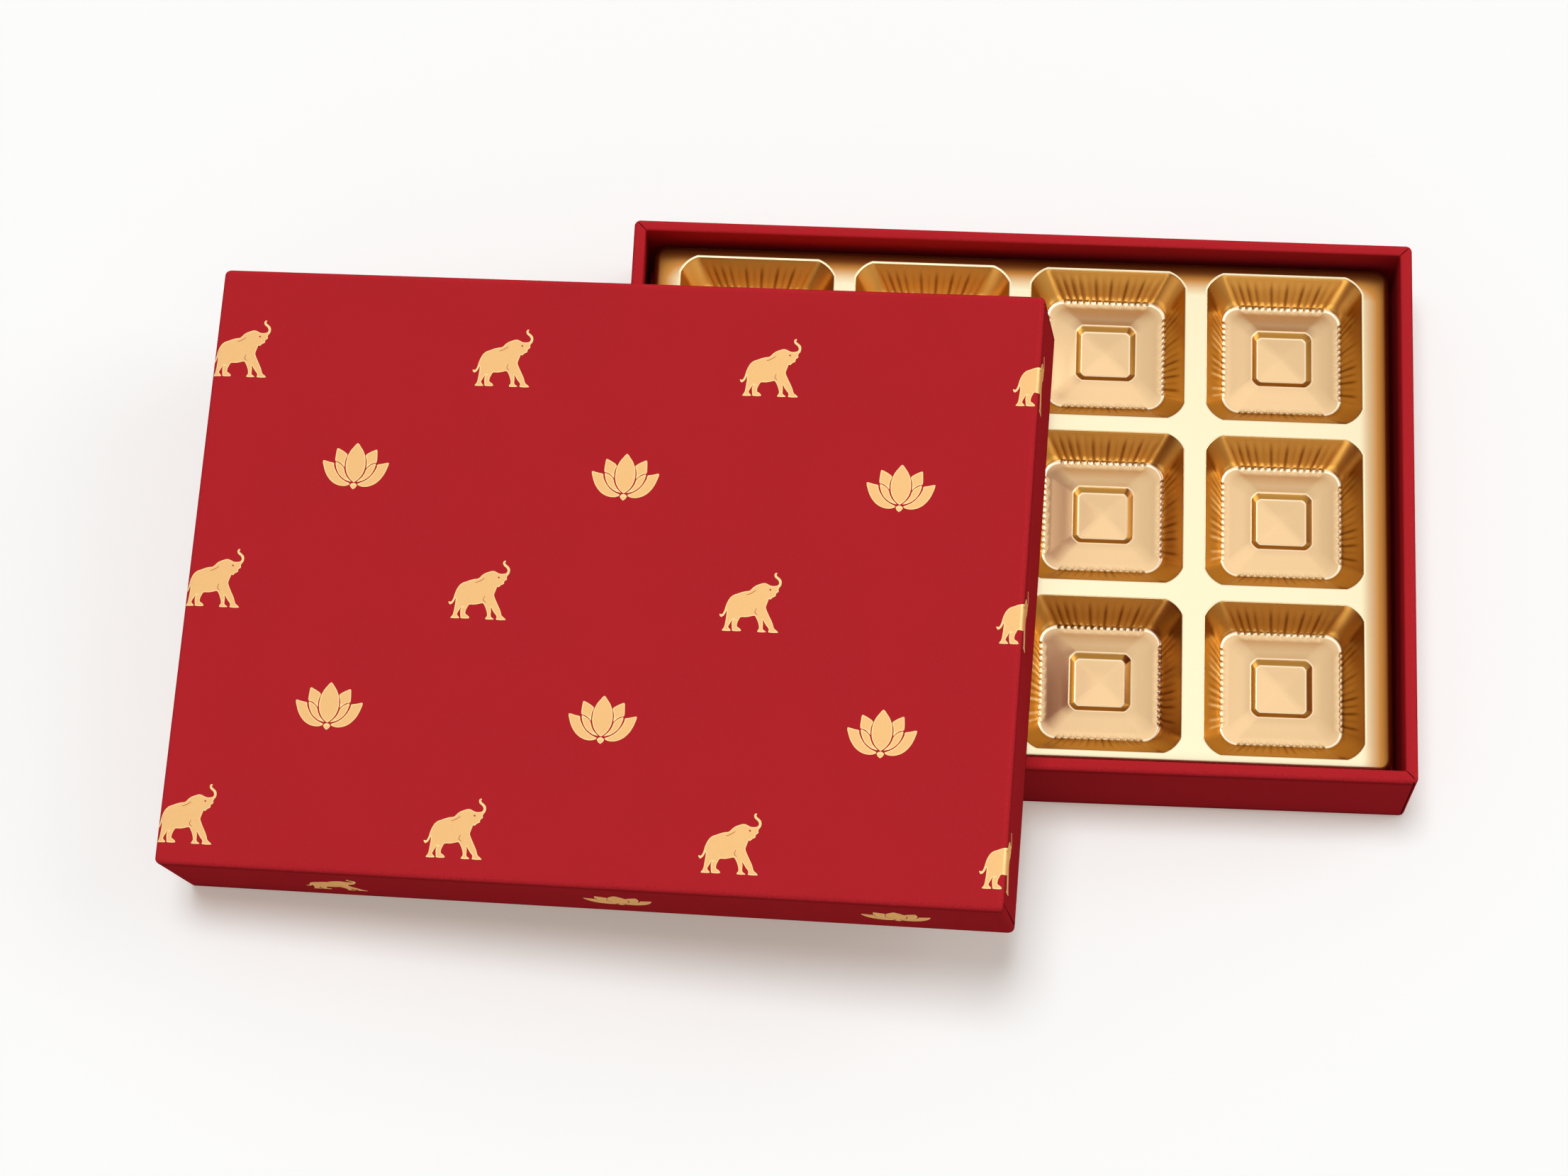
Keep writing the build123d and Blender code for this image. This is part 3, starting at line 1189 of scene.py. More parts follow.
        # Each row: half the size, the depth, and how much it is wall, floor and shine; shine paints
        # highlight on the ridge and bottom edge and shade on the short walls.
        rows = (
            (mouth + 0.45, top - ridge * 0.7, 0.0, 1.0, 0.1),
            (mouth + 0.2, top - ridge, 0.0, 1.0, 0.55),
            (mouth, top - ridge * 0.4, 0.5, 0.5, 0.0),
            (mouth - 0.15, top + 0.12, 1.0, 0.0, -0.35),
            (low + 0.3, bottom - 0.2, 1.0, 0.0, -0.3),
            (low + 0.1, bottom - 0.05, 0.5, 0.5, 0.7),
            (low - 0.1, bottom, 0.0, 1.0, 0.3),
            (low - 0.4, bottom - 0.02, 0.0, 1.0, 0.0),
            (low * 0.7, bottom - pillow * 0.3, 0.0, 1.0, 0.0),
            (low * 0.4, bottom - pillow * 0.6, 0.0, 1.0, 0.0),
            (low * 0.1, bottom - pillow * 0.9, 0.0, 1.0, 0.0),
        )
        found = []
        for half, depth, wall, floor, shine in rows:
            corner = min(self.recess_corner + (max(half, low) - mouth) / 2, half * 0.6)
            marks = {"wall": wall, "floor": floor, "shine": shine}
            found.append(Level(half, half, corner, self.recess_flat, depth, **marks))
        return found

    def levels(self) -> list[Level]:
        """All levels, from the lip inwards."""
        tangent = self.foot_radius * math.tan(self.slope / 2)
        found = self.lip_levels() + self.pleat_levels(tangent) + self.bend_levels(tangent)
        return found + self.floor_levels(found[-1]) + self.recess_levels()

    def faces(self, rings: Sequence[dict[int, int]]) -> Iterator[list[int]]:
        """The faces between neighbouring rings, and the one that closes the last ring.

        Args:
            rings: For each level, the number of the mesh's point at each place of its
                outline that it keeps.

        Yields:
            The numbers of each face's points.
        """
        total = max(max(ring) for ring in rings) + 1
        for outer, inner in zip(rings, rings[1:]):
            shared = sorted(set(outer) & set(inner))
            for start, end in zip(shared, shared[1:] + shared[:1]):
                walk = [(start + step) % total for step in range((end - start) % total + 1)]
                there = [outer[place] for place in walk if place in outer]
                yield there + [inner[place] for place in reversed(walk) if place in inner]
        yield list(rings[-1].values())

    def mesh(self, face: float) -> bpy.types.Mesh:
        """The cup's one-sided skin, seen from above.

        Args:
            face: The height of the flange that its lip lies in.

        Returns:
            The mesh, centred on the Z axis.
        """
        wave = self.pleat_wave()
        tall = self.unevenness(self.pleat_spread, 0)
        dark = self.unevenness(self.painted_groove_spread, self.pleat_samples // 2)
        pleated = self.by_side([1.0] * 4)
        bright = self.by_side(self.painted_streaks) * wave
        painted_streak = bright * (tall - 1 + self.pleat_spread) / self.pleat_spread
        painted_streak += self.by_side(self.painted_side_tones)
        # Where the painted highlight falls: pleat crests and the plain corners.
        painted_highlight = wave + self.corner_glint * (1 - pleated)
        valley = (pleated - wave) ** 2
        total, made = len(wave), 0
        tables, rings = [], []
        for level in self.levels():
            line = self.outline(level)
            height, glint = np.full(total, face - level.depth), np.full(total, level.shine)
            if level.raised:
                shrunk = {name: getattr(level, name) - 1 for name in ("half_a", "half_b", "corner")}
                above = self.outline(replace(level, **shrunk))
                rise = wave * (tall + (1 - tall) * level.floor) * level.raised
                line = line - (above - line) * rise[:, None] * level.lean[0]
                height = height - rise * level.lean[1]
            if level.fine:
                # Painted shade in the valleys, painted highlight on crests, and painted streaks and
                # side tones.
                deep = dark + (1 - dark) * level.floor
                glint = level.shine * painted_highlight - level.painted_groove * valley * deep
                glint += level.wall * level.painted_groove * painted_streak
            wall, floor = np.full(total, level.wall), np.full(total, level.floor)
            places = list(range(total)) if level.fine else self.coarse_places()
            tables.append(np.column_stack([line, height, wall, floor, glint])[places])
            rings.append({place: made + number for number, place in enumerate(places)})
            made += len(places)
        table = np.concatenate(tables)
        marks = dict(zip(("wall", "floor", "shine"), table[:, 3:].T))
        return mesh_from("cup", table[:, :3] * MM, self.faces(rings), marks)


@dataclass
class CupInsert:
    """The formed sheet: its flange on a flared skirt, and its rows of cups."""

    face: float
    foot: float
    length: float
    width: float
    cup: Cup = field(default_factory=Cup)
    columns: int = 4
    rows: tuple[str, ...] = ("front", "middle", "back")
    pitch_along: float = 52.5
    pitch_across: float = 52.0
    sheet: float = 0.4
    flare: float = 1.0
    corner: float = 4.0
    edge_radius: float = 1.5
    edge_margin: float = 0.2
    weld: float = 0.002
    tightest: float = 0.5
    skirt_shares: tuple[float, ...] = (0.3, 0.65, 1.0)
    arc_steps: int = 7
    corner_steps: int = 8
    side_steps: int = 10
    flange_degrees: float = 40.0
    cup_degrees: float = 62.0

    @classmethod
    def from_frame(cls, node: str) -> "CupInsert":
        """Size the insert from its CAD node's box."""
        low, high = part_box(node)
        flare = 2 * cls.flare
        length, width = ((high[axis] - low[axis]) / MM - flare for axis in (0, 1))
        return cls(high.z / MM, low.z / MM, length, width)

    def loop(self, inset: float, height: float) -> np.ndarray:
        """A rounded rectangle round the insert, this far in from the flange's outline."""
        corner = max(self.corner - inset, self.tightest)

        def side(out: float, reach: float) -> np.ndarray:
            """The right side, then the corner."""
            straight = np.linspace(-(reach - corner), reach - corner, self.side_steps + 1)
            line = [(out, float(share)) for share in straight]
            for step in range(1, self.corner_steps):
                angle = QUARTER * step / self.corner_steps
                x = out - corner + corner * math.cos(angle)
                line.append((x, reach - corner + corner * math.sin(angle)))
            return np.array(line)

        flat = four_sides(self.length / 2 - inset, self.width / 2 - inset, side)
        return np.column_stack([flat, np.full(len(flat), height)])

    def holes(self) -> list[np.ndarray]:
        """The lips of all cups, in the flange's plane."""
        lip = self.cup.outline(self.cup.levels()[0])[self.cup.coarse_places()]
        middle = np.array([(self.columns - 1) / 2, (len(self.rows) - 1) / 2])
        pitch = np.array([self.pitch_along, self.pitch_across])
        places = ((column, row) for column in range(self.columns) for row in range(len(self.rows)))
        return [lip + (np.array(place) - middle) * pitch for place in places]

    def flange(self, material: bpy.types.Material) -> bpy.types.Object:
        """The flange with its rolled edge and skirt, open where the cups hang."""
        loops = [self.loop(self.edge_radius + self.edge_margin, self.face)]
        for step in range(self.arc_steps + 1):
            angle = QUARTER * step / self.arc_steps
            drop = self.edge_radius * (1 - math.cos(angle))
            loops.append(self.loop(self.edge_radius * (1 - math.sin(angle)), self.face - drop))
        top = self.face - self.edge_radius
        for share in self.skirt_shares:
            loops.append(self.loop(-self.flare * share, top - (top - self.foot) * share))
        flat, faces = fill_loops([loops[0][:, :2], *self.holes()])
        base, count = len(flat), len(loops[0])
        faces += [(a, d, c, b) for a, b, c, d in ring_faces(len(loops), count, base)]
        level = np.column_stack([flat, np.full(base, self.face)])
        points = np.concatenate([level, *loops]) * MM
        # The rolled edge and skirt blend into the walls' deeper gold tone, painted shade.
        wall = np.concatenate([np.zeros(base), np.repeat(np.linspace(0, 1, len(loops)), count)])
        mesh = mesh_from("insert_flange", points, faces, {"wall": wall, "flat": np.ones(len(wall))})
        with opened(mesh) as work:
            bmesh.ops.remove_doubles(work, verts=work.verts, dist=self.weld * MM)
        return thicken(link_mesh("insert_flange", mesh, material), self.sheet, self.flange_degrees)

    def cup_rows(
        self, tree: bpy.types.NodeTree, material: bpy.types.Material
    ) -> list[bpy.types.Object]:
        """The cups, one piece for each row, repeated by the lattice tree."""
        cup = self.cup.mesh(self.face)
        pieces = []
        for row, title in enumerate(self.rows):
            across = (row - (len(self.rows) - 1) / 2) * self.pitch_across
            lattice = Lattice(self.columns, 1, self.pitch_along, 0.0, (0.0, across, 0.0))
            mesh = lattice.repeat(cup, tree, material)
            piece = link_mesh(f"insert_cups_{title}", mesh, material)
            pieces.append(thicken(piece, self.sheet, self.cup_degrees))
        return pieces

    def build(self, tree: bpy.types.NodeTree) -> None:
        material = GoldFinish("gold_sheet", self.length / 2, self.width / 2).make()
        for piece in (self.flange(material), *self.cup_rows(tree, material)):
            declare(piece, Body.INSERT, Slot.GOLD_SHEET, "insert_sheet")


def softened(points: Outline) -> np.ndarray:
    """A closed outline with a point added on a smooth curve between each two."""
    line = np.array(points, float)
    before, after, further = np.roll(line, 1, 0), np.roll(line, -1, 0), np.roll(line, -2, 0)
    added = (9 * (line + after) - before - further) / 16
    return np.stack([line, added], 1).reshape(-1, 2)


ELEPHANT: Outline = (
    (6.98, 8.58), (6.49, 8.64), (6.17, 8.11), (6.40, 7.32), (7.11, 6.76), (7.59, 6.20),
    (7.67, 5.53), (7.30, 5.02), (6.50, 4.83), (5.69, 4.81), (4.96, 5.04), (4.10, 5.45),
    (3.27, 5.53), (2.37, 5.24), (1.37, 4.82), (0.50, 4.20), (-0.44, 3.18), (-1.58, 2.96),
    (-2.72, 2.63), (-3.83, 2.16), (-4.95, 1.71), (-5.80, 0.92), (-6.39, -0.14), (-6.83, -1.40),
    (-7.09, -2.65), (-7.42, -3.53), (-7.79, -3.96), (-8.37, -3.83), (-8.40, -4.18), (-7.99, -4.72),
    (-7.65, -4.61), (-7.16, -4.20), (-6.79, -3.52), (-6.50, -2.76), (-6.43, -3.64), (-6.48, -4.64),
    (-6.58, -5.89), (-6.72, -7.14), (-6.95, -7.84), (-7.32, -8.35), (-7.21, -8.64), (-4.95, -8.60),
    (-5.17, -8.10), (-5.62, -7.61), (-5.62, -7.24), (-5.14, -6.23), (-4.50, -5.22), (-4.76, -6.10),
    (-4.67, -7.34), (-4.54, -8.09), (-4.30, -8.58), (-2.16, -8.54), (-2.14, -8.04), (-2.66, -7.60),
    (-3.16, -7.31), (-3.28, -6.81), (-3.17, -6.06), (-2.80, -5.18), (-2.36, -4.50), (-1.01, -4.47),
    (0.36, -4.19), (1.45, -3.92), (2.04, -4.58), (2.62, -5.69), (2.98, -6.80), (3.06, -7.55),
    (2.71, -8.18), (2.82, -8.58), (5.03, -8.53), (4.64, -8.09), (4.20, -7.78), (4.07, -7.16),
    (4.05, -5.91), (3.83, -4.96), (4.37, -5.65), (5.06, -6.64), (5.73, -7.37), (5.86, -7.99),
    (5.86, -8.56), (8.40, -8.56), (8.21, -8.07), (7.49, -7.53), (7.17, -7.09), (6.73, -5.85),
    (6.00, -4.49), (5.12, -2.89), (4.51, -1.53), (4.65, -0.65), (4.99, 0.48), (5.16, 1.05),
    (5.64, 0.91), (6.16, 1.50), (6.98, 1.94), (7.04, 2.69), (7.52, 3.03), (7.76, 3.41),
    (7.61, 3.85), (7.83, 4.41), (8.24, 4.96), (8.39, 5.91), (8.11, 6.78), (7.32, 7.44),
    (6.80, 7.88), (6.79, 8.23),
)
ELEPHANT_EYE: Outline = ((5.09, 3.90), (5.35, 4.00), (5.63, 3.81), (5.54, 3.56), (5.22, 3.50))
ELEPHANT_EAR: Outline = (
    (-1.20, 2.02), (-0.35, 2.33), (0.48, 2.83), (1.22, 3.34),
    (1.28, 3.22), (0.55, 2.68), (-0.29, 2.19), (-1.10, 1.92),
)
ELEPHANT_LEG: Outline = (
    (1.89, -1.91), (1.71, -2.46), (1.58, -2.92), (1.85, -3.26), (2.26, -3.65),
    (2.18, -3.73), (1.77, -3.39), (1.41, -2.94), (1.61, -2.34), (1.76, -1.86),
)
LOTUS_HEART_SIDE: Outline = (
    (-0.0, 6.88), (-1.0, 5.76), (-1.86, 4.58), (-2.5, 3.14), (-2.82, 1.70), (-2.88, 0.07),
    (-2.68, -1.19), (-2.22, -2.45), (-1.33, -3.72), (-0.41, -4.53), (0.0, -4.77),
)
LOTUS_INNER: Outline = (
    (-5.86, 5.09), (-4.91, 4.80), (-3.76, 4.19), (-2.67, 3.32), (-3.04, 2.15), (-3.21, 1.06),
    (-3.19, -0.38), (-3.55, -0.11), (-4.29, 0.61), (-5.18, 1.12), (-6.07, 1.34), (-6.14, 2.60),
    (-6.05, 3.77),
)
LOTUS_LEAF: Outline = (
    (-5.91, 0.98), (-5.14, 0.78), (-4.26, 0.27), (-3.51, -0.47), (-3.20, -1.01), (-2.94, -1.91),
    (-2.42, -2.91), (-1.75, -3.72), (-0.82, -4.62), (-1.49, -4.53), (-2.62, -4.17), (-3.69, -3.45),
    (-4.62, -2.55), (-5.33, -1.37), (-5.77, -0.11),
)
LOTUS_OUTER: Outline = (
    (-9.71, 1.34), (-8.52, 1.16), (-7.50, 0.92), (-6.44, 0.70), (-6.30, -0.11), (-5.85, -1.19),
    (-5.14, -2.36), (-4.19, -3.45), (-3.11, -4.26), (-2.05, -4.80), (-1.18, -5.16), (-1.38, -5.61),
    (-2.42, -5.97), (-3.76, -5.97), (-5.13, -5.61), (-6.55, -4.80), (-7.77, -3.54), (-8.67, -2.09),
    (-9.37, -0.29),
)
LOTUS_BASE: Outline = ((0.0, -4.95), (-1.05, -5.66), (0.0, -6.88), (1.05, -5.66))


def mirrored(outline: Outline) -> Outline:
    """The outline turned over, left to right, its points in the same sense as before."""
    return tuple((-x, y) for x, y in reversed(outline))


@dataclass(frozen=True)
class Motif:
    """A flat foil figure: shapes, and openings in them through which the paper shows."""

    name: str
    shapes: tuple[Outline, ...]
    openings: tuple[Outline, ...] = ()
    line_width: float = 0.42
    line_share: float = 0.97
    opening_gap: float = 0.1
    spacing: float = 0.3

    def inner_points(self, outline: np.ndarray, openings: list[np.ndarray]) -> np.ndarray | None:
        """Points a line's width inside a shape, so that its line is even, or None."""
        after = np.roll(outline, -1, 0) - np.roll(outline, 1, 0)
        normal = np.stack([-after[:, 1], after[:, 0]], 1)
        normal /= np.maximum(np.linalg.norm(normal, axis=1), 1e-9)[:, None]
        thinned: list[np.ndarray] = []
        for side in (-1, 1):
            moved = outline + normal * side * self.line_width
            good = inside_loops(moved, [outline, *openings])
            good &= clearance(moved, [outline]) > self.line_share * self.line_width
            good &= clearance(moved, openings) > self.opening_gap
            for spot in moved[good]:
                if all(np.hypot(*(spot - other)) > self.spacing for other in thinned):
                    thinned.append(spot)
        return np.array(thinned) if thinned else None

    def mesh(self) -> bpy.types.Mesh:
        """The figure in the plane Z = 0, marked with how far inside its outline a point is."""
        points, faces, inside = [], [], []
        openings = [softened(opening) for opening in self.openings]
        for shape in self.shapes:
            outline = softened(shape)
            extra = self.inner_points(outline, openings)
            flat, corners = fill_loops([outline, *openings], extra)
            base = len(points)
            points += [(*spot, 0.0) for spot in flat]
            inside += list(np.clip(clearance(flat, [outline]) / self.line_width, 0, 1))
            faces += [tuple(base + place for place in corner) for corner in corners]
        return mesh_from(self.name, np.array(points) * MM, faces, {"inside": np.array(inside)})


@dataclass
class LidPrint:
    """The lid's stamped pattern: rows of elephants with lotuses between them.

    It is laid out flat, as the paper was printed, in a sheet whose origin is the front
    left corner of the lid's top, and then folded over the lid's edges.
    """

    lid: LeaningLid
    edge_radius: float
    lift: float = 0.015
    foil: float = 0.05
    sharp_degrees: float = 50.0
    fold_cuts: int = 6
    rim_gap: float = 0.3
    elephants: tuple[int, int] = (4, 3)
    elephant_pitch: tuple[float, float] = (77.8, 68.6)
    elephant_centre: tuple[float, float] = (0.5185, 0.4733)
    lotuses: tuple[int, int] = (3, 2)
    lotus_pitch: tuple[float, float] = (78.7, 70.4)
    lotus_centre: tuple[float, float] = (0.5185, 0.47)
    front_elephant: float = 0.196
    front_lotuses: float = 0.705
    back_row: float = 1.07
    left_column: float = -0.143

    def bend(self, run: np.ndarray, length: float, lift: float) -> tuple[np.ndarray, np.ndarray]:
        """Fold one direction of the sheet over the lid's two edges.

        Args:
            run: Places along the sheet.
            length: The lid's size in that direction.
            lift: How far above the paper the result lies.

        Returns:
            The places along the lid, and how far they drop below its top.
        """
        radius = self.edge_radius
        beyond = np.maximum(np.maximum(radius - run, run - (length - radius)), 0)
        side = np.where(run < length / 2, -1.0, 1.0)
        start = np.where(run < length / 2, radius, length - radius)
        angle = np.minimum(beyond / radius, QUARTER)
        further = np.maximum(beyond - radius * QUARTER, 0)
        place = np.where(beyond > 0, start + side * (radius + lift) * np.sin(angle), run)
        return place, (radius + lift) * (1 - np.cos(angle)) + further

    def fold(self, mesh: bpy.types.Mesh) -> None:
        """Cut a flat mesh along the lid's edges and fold it on to the lid."""
        lid, radius = self.lid, self.edge_radius
        arc = radius * QUARTER
        reach = arc + lid.depth - 2 * radius - self.rim_gap
        cuts = [arc * step / self.fold_cuts for step in range(self.fold_cuts + 1)]
        with opened(mesh) as work:
            for axis, length in ((Vector((1, 0, 0)), lid.length), (Vector((0, 1, 0)), lid.width)):
                for side, start in ((-1, radius), (1, length - radius)):
                    for cut in (*cuts, reach):
                        bmesh.ops.bisect_plane(
                            work,
                            geom=[*work.verts, *work.edges, *work.faces],
                            dist=1e-8,
                            plane_co=axis * ((start + side * cut) * MM),
                            plane_no=axis * side,
                            clear_outer=cut == reach,
                        )
            bmesh.ops.triangulate(work, faces=work.faces)
            flat = np.array([vertex.co for vertex in work.verts]) / MM
            along, drop_along = self.bend(flat[:, 0], lid.length, self.lift)
            across, drop_across = self.bend(flat[:, 1], lid.width, self.lift)
            height = lid.depth + self.lift - drop_along - drop_across
            for vertex, spot in zip(work.verts, np.column_stack([along, across, height]) * MM):
                vertex.co = spot
        mesh.transform(lid.matrix(0, 0, 0))

    def lattices(self) -> dict[str, list[Lattice]]:
        """Where each figure stands on the flat sheet."""
        lid, radius = self.lid, self.edge_radius

        def at(along: float, across: float) -> Spot:
            """The point at these shares of the lid's length and width."""
            return (along * lid.length, across * lid.width, 0.0)

        front = (radius - (radius * QUARTER + lid.depth / 2 - radius)) / lid.width
        lotus_x, lotus_y = self.lotus_centre
        pitch_x, pitch_y = self.lotus_pitch
        elephants = [
            Lattice(*self.elephants, *self.elephant_pitch, at(*self.elephant_centre)),
            Lattice(1, 1, 0.0, 0.0, at(self.front_elephant, front)),
        ]
        lotuses = [
            Lattice(*self.lotuses, pitch_x, pitch_y, at(lotus_x, lotus_y)),
            Lattice(self.lotuses[0], 1, pitch_x, 0.0, at(lotus_x, self.back_row)),
            Lattice(1, self.lotuses[1], 0.0, pitch_y, at(self.left_column, lotus_y)),
            Lattice(2, 1, pitch_x, 0.0, at(self.front_lotuses, front)),
        ]
        return {"lid_elephants": elephants, "lid_lotuses": lotuses}

    def build(self, tree: bpy.types.NodeTree, finish: Finish) -> None:
        material = finish.make()
        heart = LOTUS_HEART_SIDE + mirrored(LOTUS_HEART_SIDE)[1:-1]
        halves = (LOTUS_INNER, LOTUS_LEAF, LOTUS_OUTER)
        petals = (heart, LOTUS_BASE, *halves, *(mirrored(half) for half in halves))
        openings = (ELEPHANT_EYE, ELEPHANT_EAR, ELEPHANT_LEG)
        motifs = (Motif("elephant", (ELEPHANT,), openings), Motif("lotus", petals))
        for motif, (name, lattices) in zip(motifs, self.lattices().items()):
            flat, mesh = motif.mesh(), bpy.data.meshes.new(name)
            with opened(mesh) as work:
                for lattice in lattices:
                    part = lattice.repeat(flat, tree, material)
                    work.from_mesh(part)
                    bpy.data.meshes.remove(part)
            self.fold(mesh)
            piece = link_mesh(name, mesh, material)
            declare(thicken(piece, self.foil, self.sharp_degrees, 1.0), Body.LID, Slot.GOLD_SHEET)


@dataclass(frozen=True)
class Lamp:
    """A sun that lights all but the gold or, where it has a size, a panel that gold alone shows."""

    name: str
    place_m: Spot
    energy: float
    spread: float = 0.0
    size_m: tuple[float, float] | None = None
    aim_m: Spot = (0.0, 0.0, 0.0)

    def hang(self) -> None:
        """Put the lamp into the scene, turned to what it is aimed at."""
        data = bpy.data.lights.new(self.name, "AREA" if self.size_m else "SUN")
        data.energy = self.energy
        if self.size_m:
            data.shape = "RECTANGLE"
            data.size, data.size_y = self.size_m
        else:
            data.angle = math.radians(self.spread)
        lamp = bpy.data.objects.new(self.name, data)
        lamp.location = self.place_m
        away = Vector(self.place_m) - Vector(self.aim_m)
        lamp.rotation_euler = away.to_track_quat("Z", "Y").to_euler()
        lamp.visible_camera = False
        lamp.visible_diffuse = not self.size_m
        lamp.visible_glossy = bool(self.size_m)
        bpy.context.scene.collection.objects.link(lamp)


@dataclass
class Studio:
    """The camera at the photograph's angle, soft lights for paper and gold, and a pale floor."""

    lens: float = 90.91
    sensor: float = 36.0
    azimuth: float = -4.682
    elevation: float = 69.538
    roll: float = -2.290
    camera_at: Spot = (-33.50, -430.53, 1104.05)
    floor_half_m: float = 4.0
    floor_drop: float = 0.02
    ambient: float = 0.3
    seen: float = 1.0
    lamps: tuple[Lamp, ...] = (
        Lamp("key", (-0.11, 0.13, 1.0), 1.98, spread=22.0),
        Lamp("fill", (1.2, 0.4, 0.9), 0.5, spread=40.0),
        Lamp("softbox", (-0.03, 0.16, 1.25), 0.9, size_m=(0.75, 0.95)),
        Lamp("right_strip", (1.1, 0.0, 0.62), 5.0, size_m=(1.3, 0.25)),
        Lamp("front_strip", (0.0, -1.3, 0.45), 5.0, size_m=(1.6, 0.25)),
        Lamp(
            "card_under_lid",
            (-0.055, 0.019, 0.048),
            0.07,
            size_m=(0.1, 0.098),
            aim_m=(-0.055, 0.019, 0.0),
        ),
    )

    def add_camera(self) -> None:
        """Stand the camera where the photograph was taken from."""
        azimuth, elevation, roll = (
            math.radians(value) for value in (self.azimuth, self.elevation, self.roll)
        )
        level = math.cos(elevation)
        ahead = Vector((math.sin(azimuth) * level, math.cos(azimuth) * level, -math.sin(elevation)))
        side = Vector((math.cos(azimuth), -math.sin(azimuth), 0.0))
        top = side.cross(ahead)
        right = side * math.cos(roll) + top * math.sin(roll)
        up = top * math.cos(roll) - side * math.sin(roll)
        data = bpy.data.cameras.new("photo_camera")
        data.lens = self.lens
        data.sensor_width = self.sensor
        data.sensor_fit = "HORIZONTAL"
        camera = bpy.data.objects.new("photo_camera", data)
        turn = Matrix((right, up, -ahead)).transposed().to_4x4()
        camera.matrix_world = Matrix.Translation(Vector(self.camera_at) * MM) @ turn
        bpy.context.scene.collection.objects.link(camera)
        bpy.context.scene.camera = camera

    def add_lights(self) -> None:
        """Hang the lamps and set the world, full where it is seen or mirrored and dim elsewhere."""
        for lamp in self.lamps:
            lamp.hang()
        world = bpy.data.worlds.new("studio")
        world.use_nodes = True
        bpy.context.scene.world = world
        bench = Bench(world.node_tree)
        white = (1.0, 1.0, 1.0)
        dim, full = (
            bench.node("ShaderNodeBackground", None, {"Color": white, "Strength": strength})
            for strength in (self.ambient, self.seen)
        )
        both = bench.node("ShaderNodeMixShader", None, {0: bench.direct(), 1: dim, 2: full})
        bench.node("ShaderNodeOutputWorld", None, {"Surface": both})

    def add_floor(self, finish: Finish) -> None:
        """Lay the table under the box."""
        half, height = self.floor_half_m, -self.floor_drop * MM
        signs = ((-1, -1), (1, -1), (1, 1), (-1, 1))
        points = np.array([(x * half, y * half, height) for x, y in signs])
        mesh = mesh_from("studio_floor", points, [(0, 1, 2, 3)])
        link_mesh("studio_floor", mesh, finish.make())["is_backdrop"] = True


@dataclass
class BoxScene:
    """The whole sweet box, dressed around the frame."""

    nodes: dict[str, bpy.types.Object]
    tray_wall: float = 3.6
    tray_turn_in: float = 19.0
    tray_turn_under: float = 15.0
    lid_wall: float = 3.1
    lid_turn_in: float = 16.0
    lid_seam_centre: float = 1.75
    lid_seam_half: tuple[float, float] = (0.15, 0.45)
    red: PaperFinish = PaperFinish("red_paper", (0.445, 0.0185, 0.0245))
    lining: PaperFinish = PaperFinish("lining_paper", (0.40, 0.014, 0.020), cloud=0.1)
    base: PaperFinish = PaperFinish("base_paper", (0.36, 0.012, 0.02), grain_size=0.9, grain=0.16)
    board: FibreFinish = FibreFinish(
        "greyboard",
        (0.42, 0.39, 0.35),
        run=(1.0, 0.3, 1.0),
        size=1.6,
        detail=5.0,
        tone=0.3,
        roughness=0.85,
        specular=0.2,
        relief=0.1,
        fleck=0.6,
    )
    tape: FibreFinish = FibreFinish(
        "stay_tape",
        (0.55, 0.43, 0.28),
        run=(0.2, 0.2, 1.0),
        size=1.2,
        detail=3.0,
        tone=0.4,
        roughness=0.7,
        specular=0.3,
        relief=0.06,
    )

    def dress_nodes(self) -> None:
        """Give every CAD node that stays a material of its own kind."""
        endings = {
            "_board": self.board.make(),
            "_stays": self.tape.make(),
            "_lining_paper": self.lining.make(),
            "_base_sheet": self.base.make(),
        }
        for name, node in self.nodes.items():
            for ending, material in endings.items():
                if name.endswith(ending):
                    node.data.materials.clear()
                    node.data.materials.append(material)

    def tray(self, paper: bpy.types.Material) -> None:
        """Wrap the tray."""
        low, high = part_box("tray_wrap_paper")
        sizes = (*((high - low) / MM), self.tray_wall, self.tray_turn_in)
        shell = PaperShell("tray_wrap", *sizes, OpenSide.UP, self.tray_turn_under)
        centre = (low + high) / 2
        place = Matrix.Translation((centre.x, centre.y, low.z))
        piece = shell.build(place, paper)
        declare(piece, Body.TRAY, Slot.RED_PAPER, "tray_wrap_paper")

    def lid(self, paper: bpy.types.Material, tree: bpy.types.NodeTree) -> None:
        """Wrap the lid and stamp its pattern."""
        lid = LeaningLid.from_frame(self.nodes["lid_wrap_paper"])
        LOG.info("lid %.1f x %.1f x %.1f mm", lid.length, lid.width, lid.depth)
        sizes = (lid.length, lid.width, lid.depth, self.lid_wall, self.lid_turn_in)
        seam = {"seam_centre": self.lid_seam_centre, "seam_half": self.lid_seam_half}
        shell = PaperShell("lid_wrap", *sizes, OpenSide.DOWN, **seam)
        place = lid.matrix(lid.length / 2, lid.width / 2, lid.depth)
        declare(shell.build(place, paper), Body.LID, Slot.RED_PAPER, "lid_wrap_paper")
        LidPrint(lid, shell.edge_radius).build(tree, FoilFinish("stamped_foil"))

    def build(self) -> None:
        """Build every sub-assembly in order."""
        tree = lattice_tree()
        paper = self.red.make()
        self.dress_nodes()
        self.tray(paper)
        CupInsert.from_frame("insert_sheet").build(tree)
        self.lid(paper, tree)


def corners(bounds: Sequence[Iterable[float]]) -> list[list[float]]:
    """A box's lowest and highest corners as plain lists."""
    return [[float(part) for part in corner] for corner in bounds]


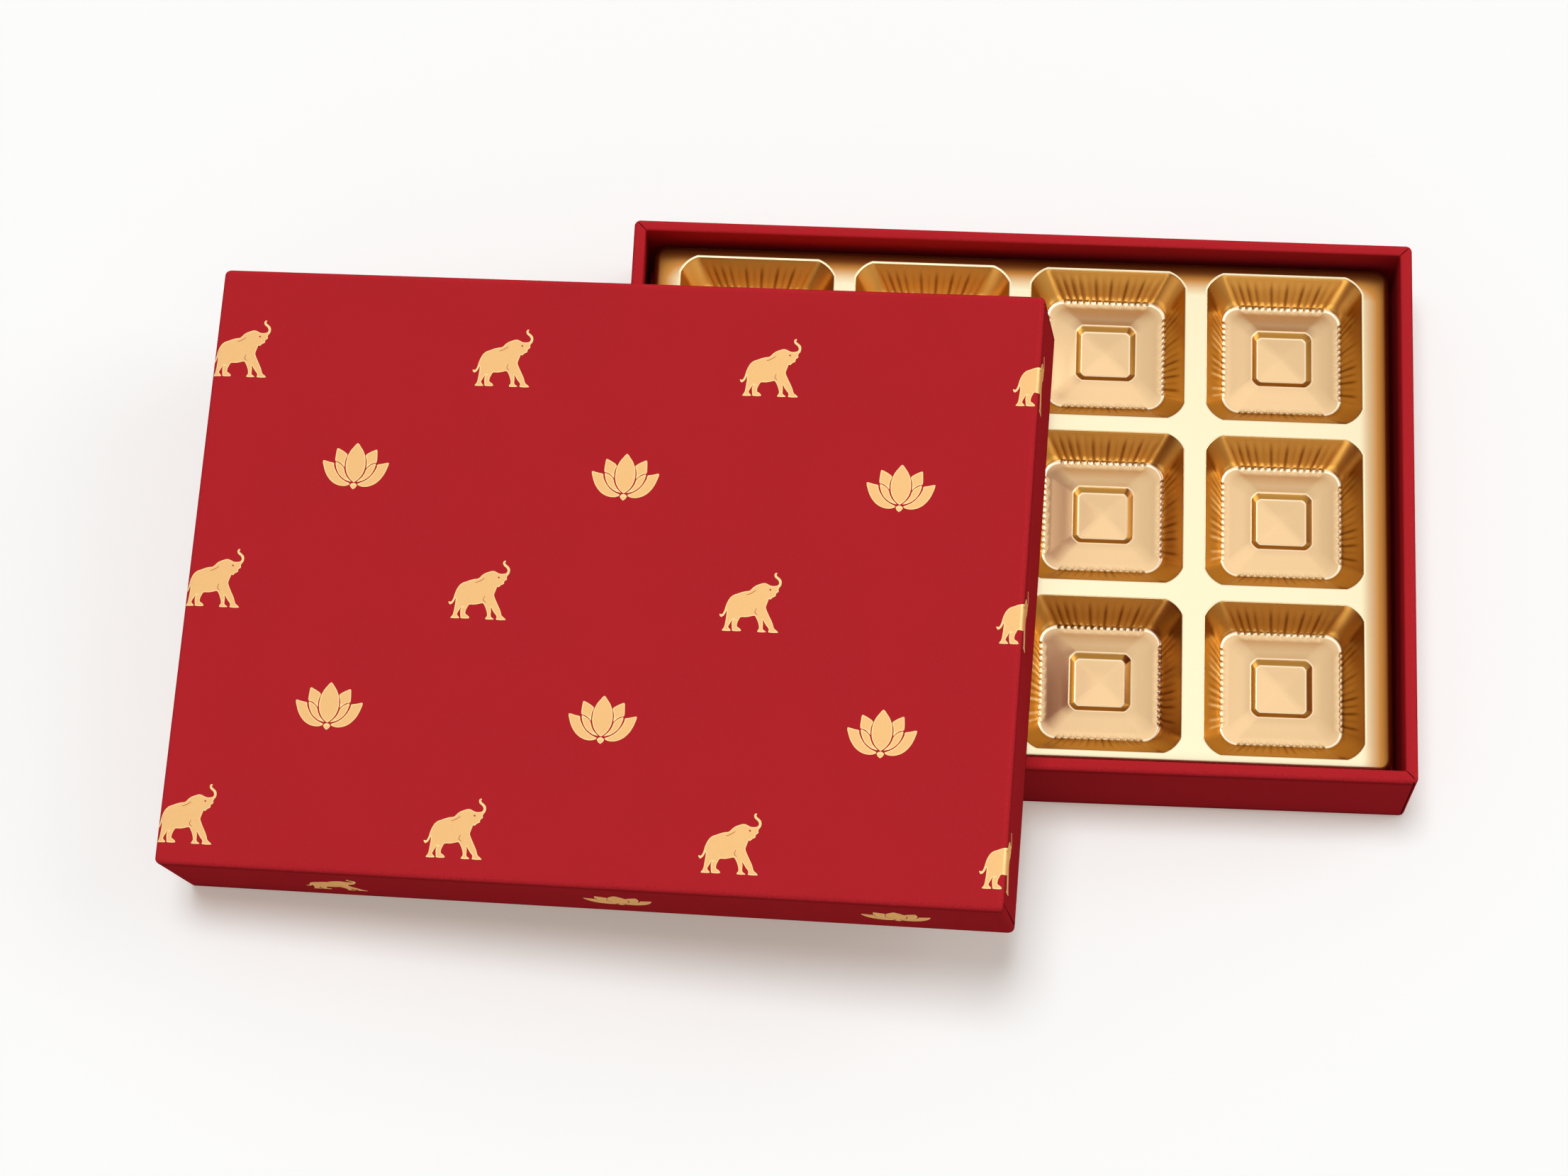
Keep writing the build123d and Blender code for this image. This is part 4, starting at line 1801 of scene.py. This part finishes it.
def main() -> None:
    """Load the frame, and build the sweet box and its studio."""
    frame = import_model()
    sizes = {"cad": corners(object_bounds())}
    bpy.context.scene.view_settings.view_transform = "Standard"
    studio = Studio()
    studio.add_camera()
    studio.add_lights()
    studio.add_floor(FloorFinish("studio_floor"))
    BoxScene(frame["nodes"]).build()
    sizes["visual"] = corners(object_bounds())
    LOG.info("sizes %s", sizes)


if __name__ == "__main__":
    logging.basicConfig(level=logging.INFO, format="%(message)s")
    main()
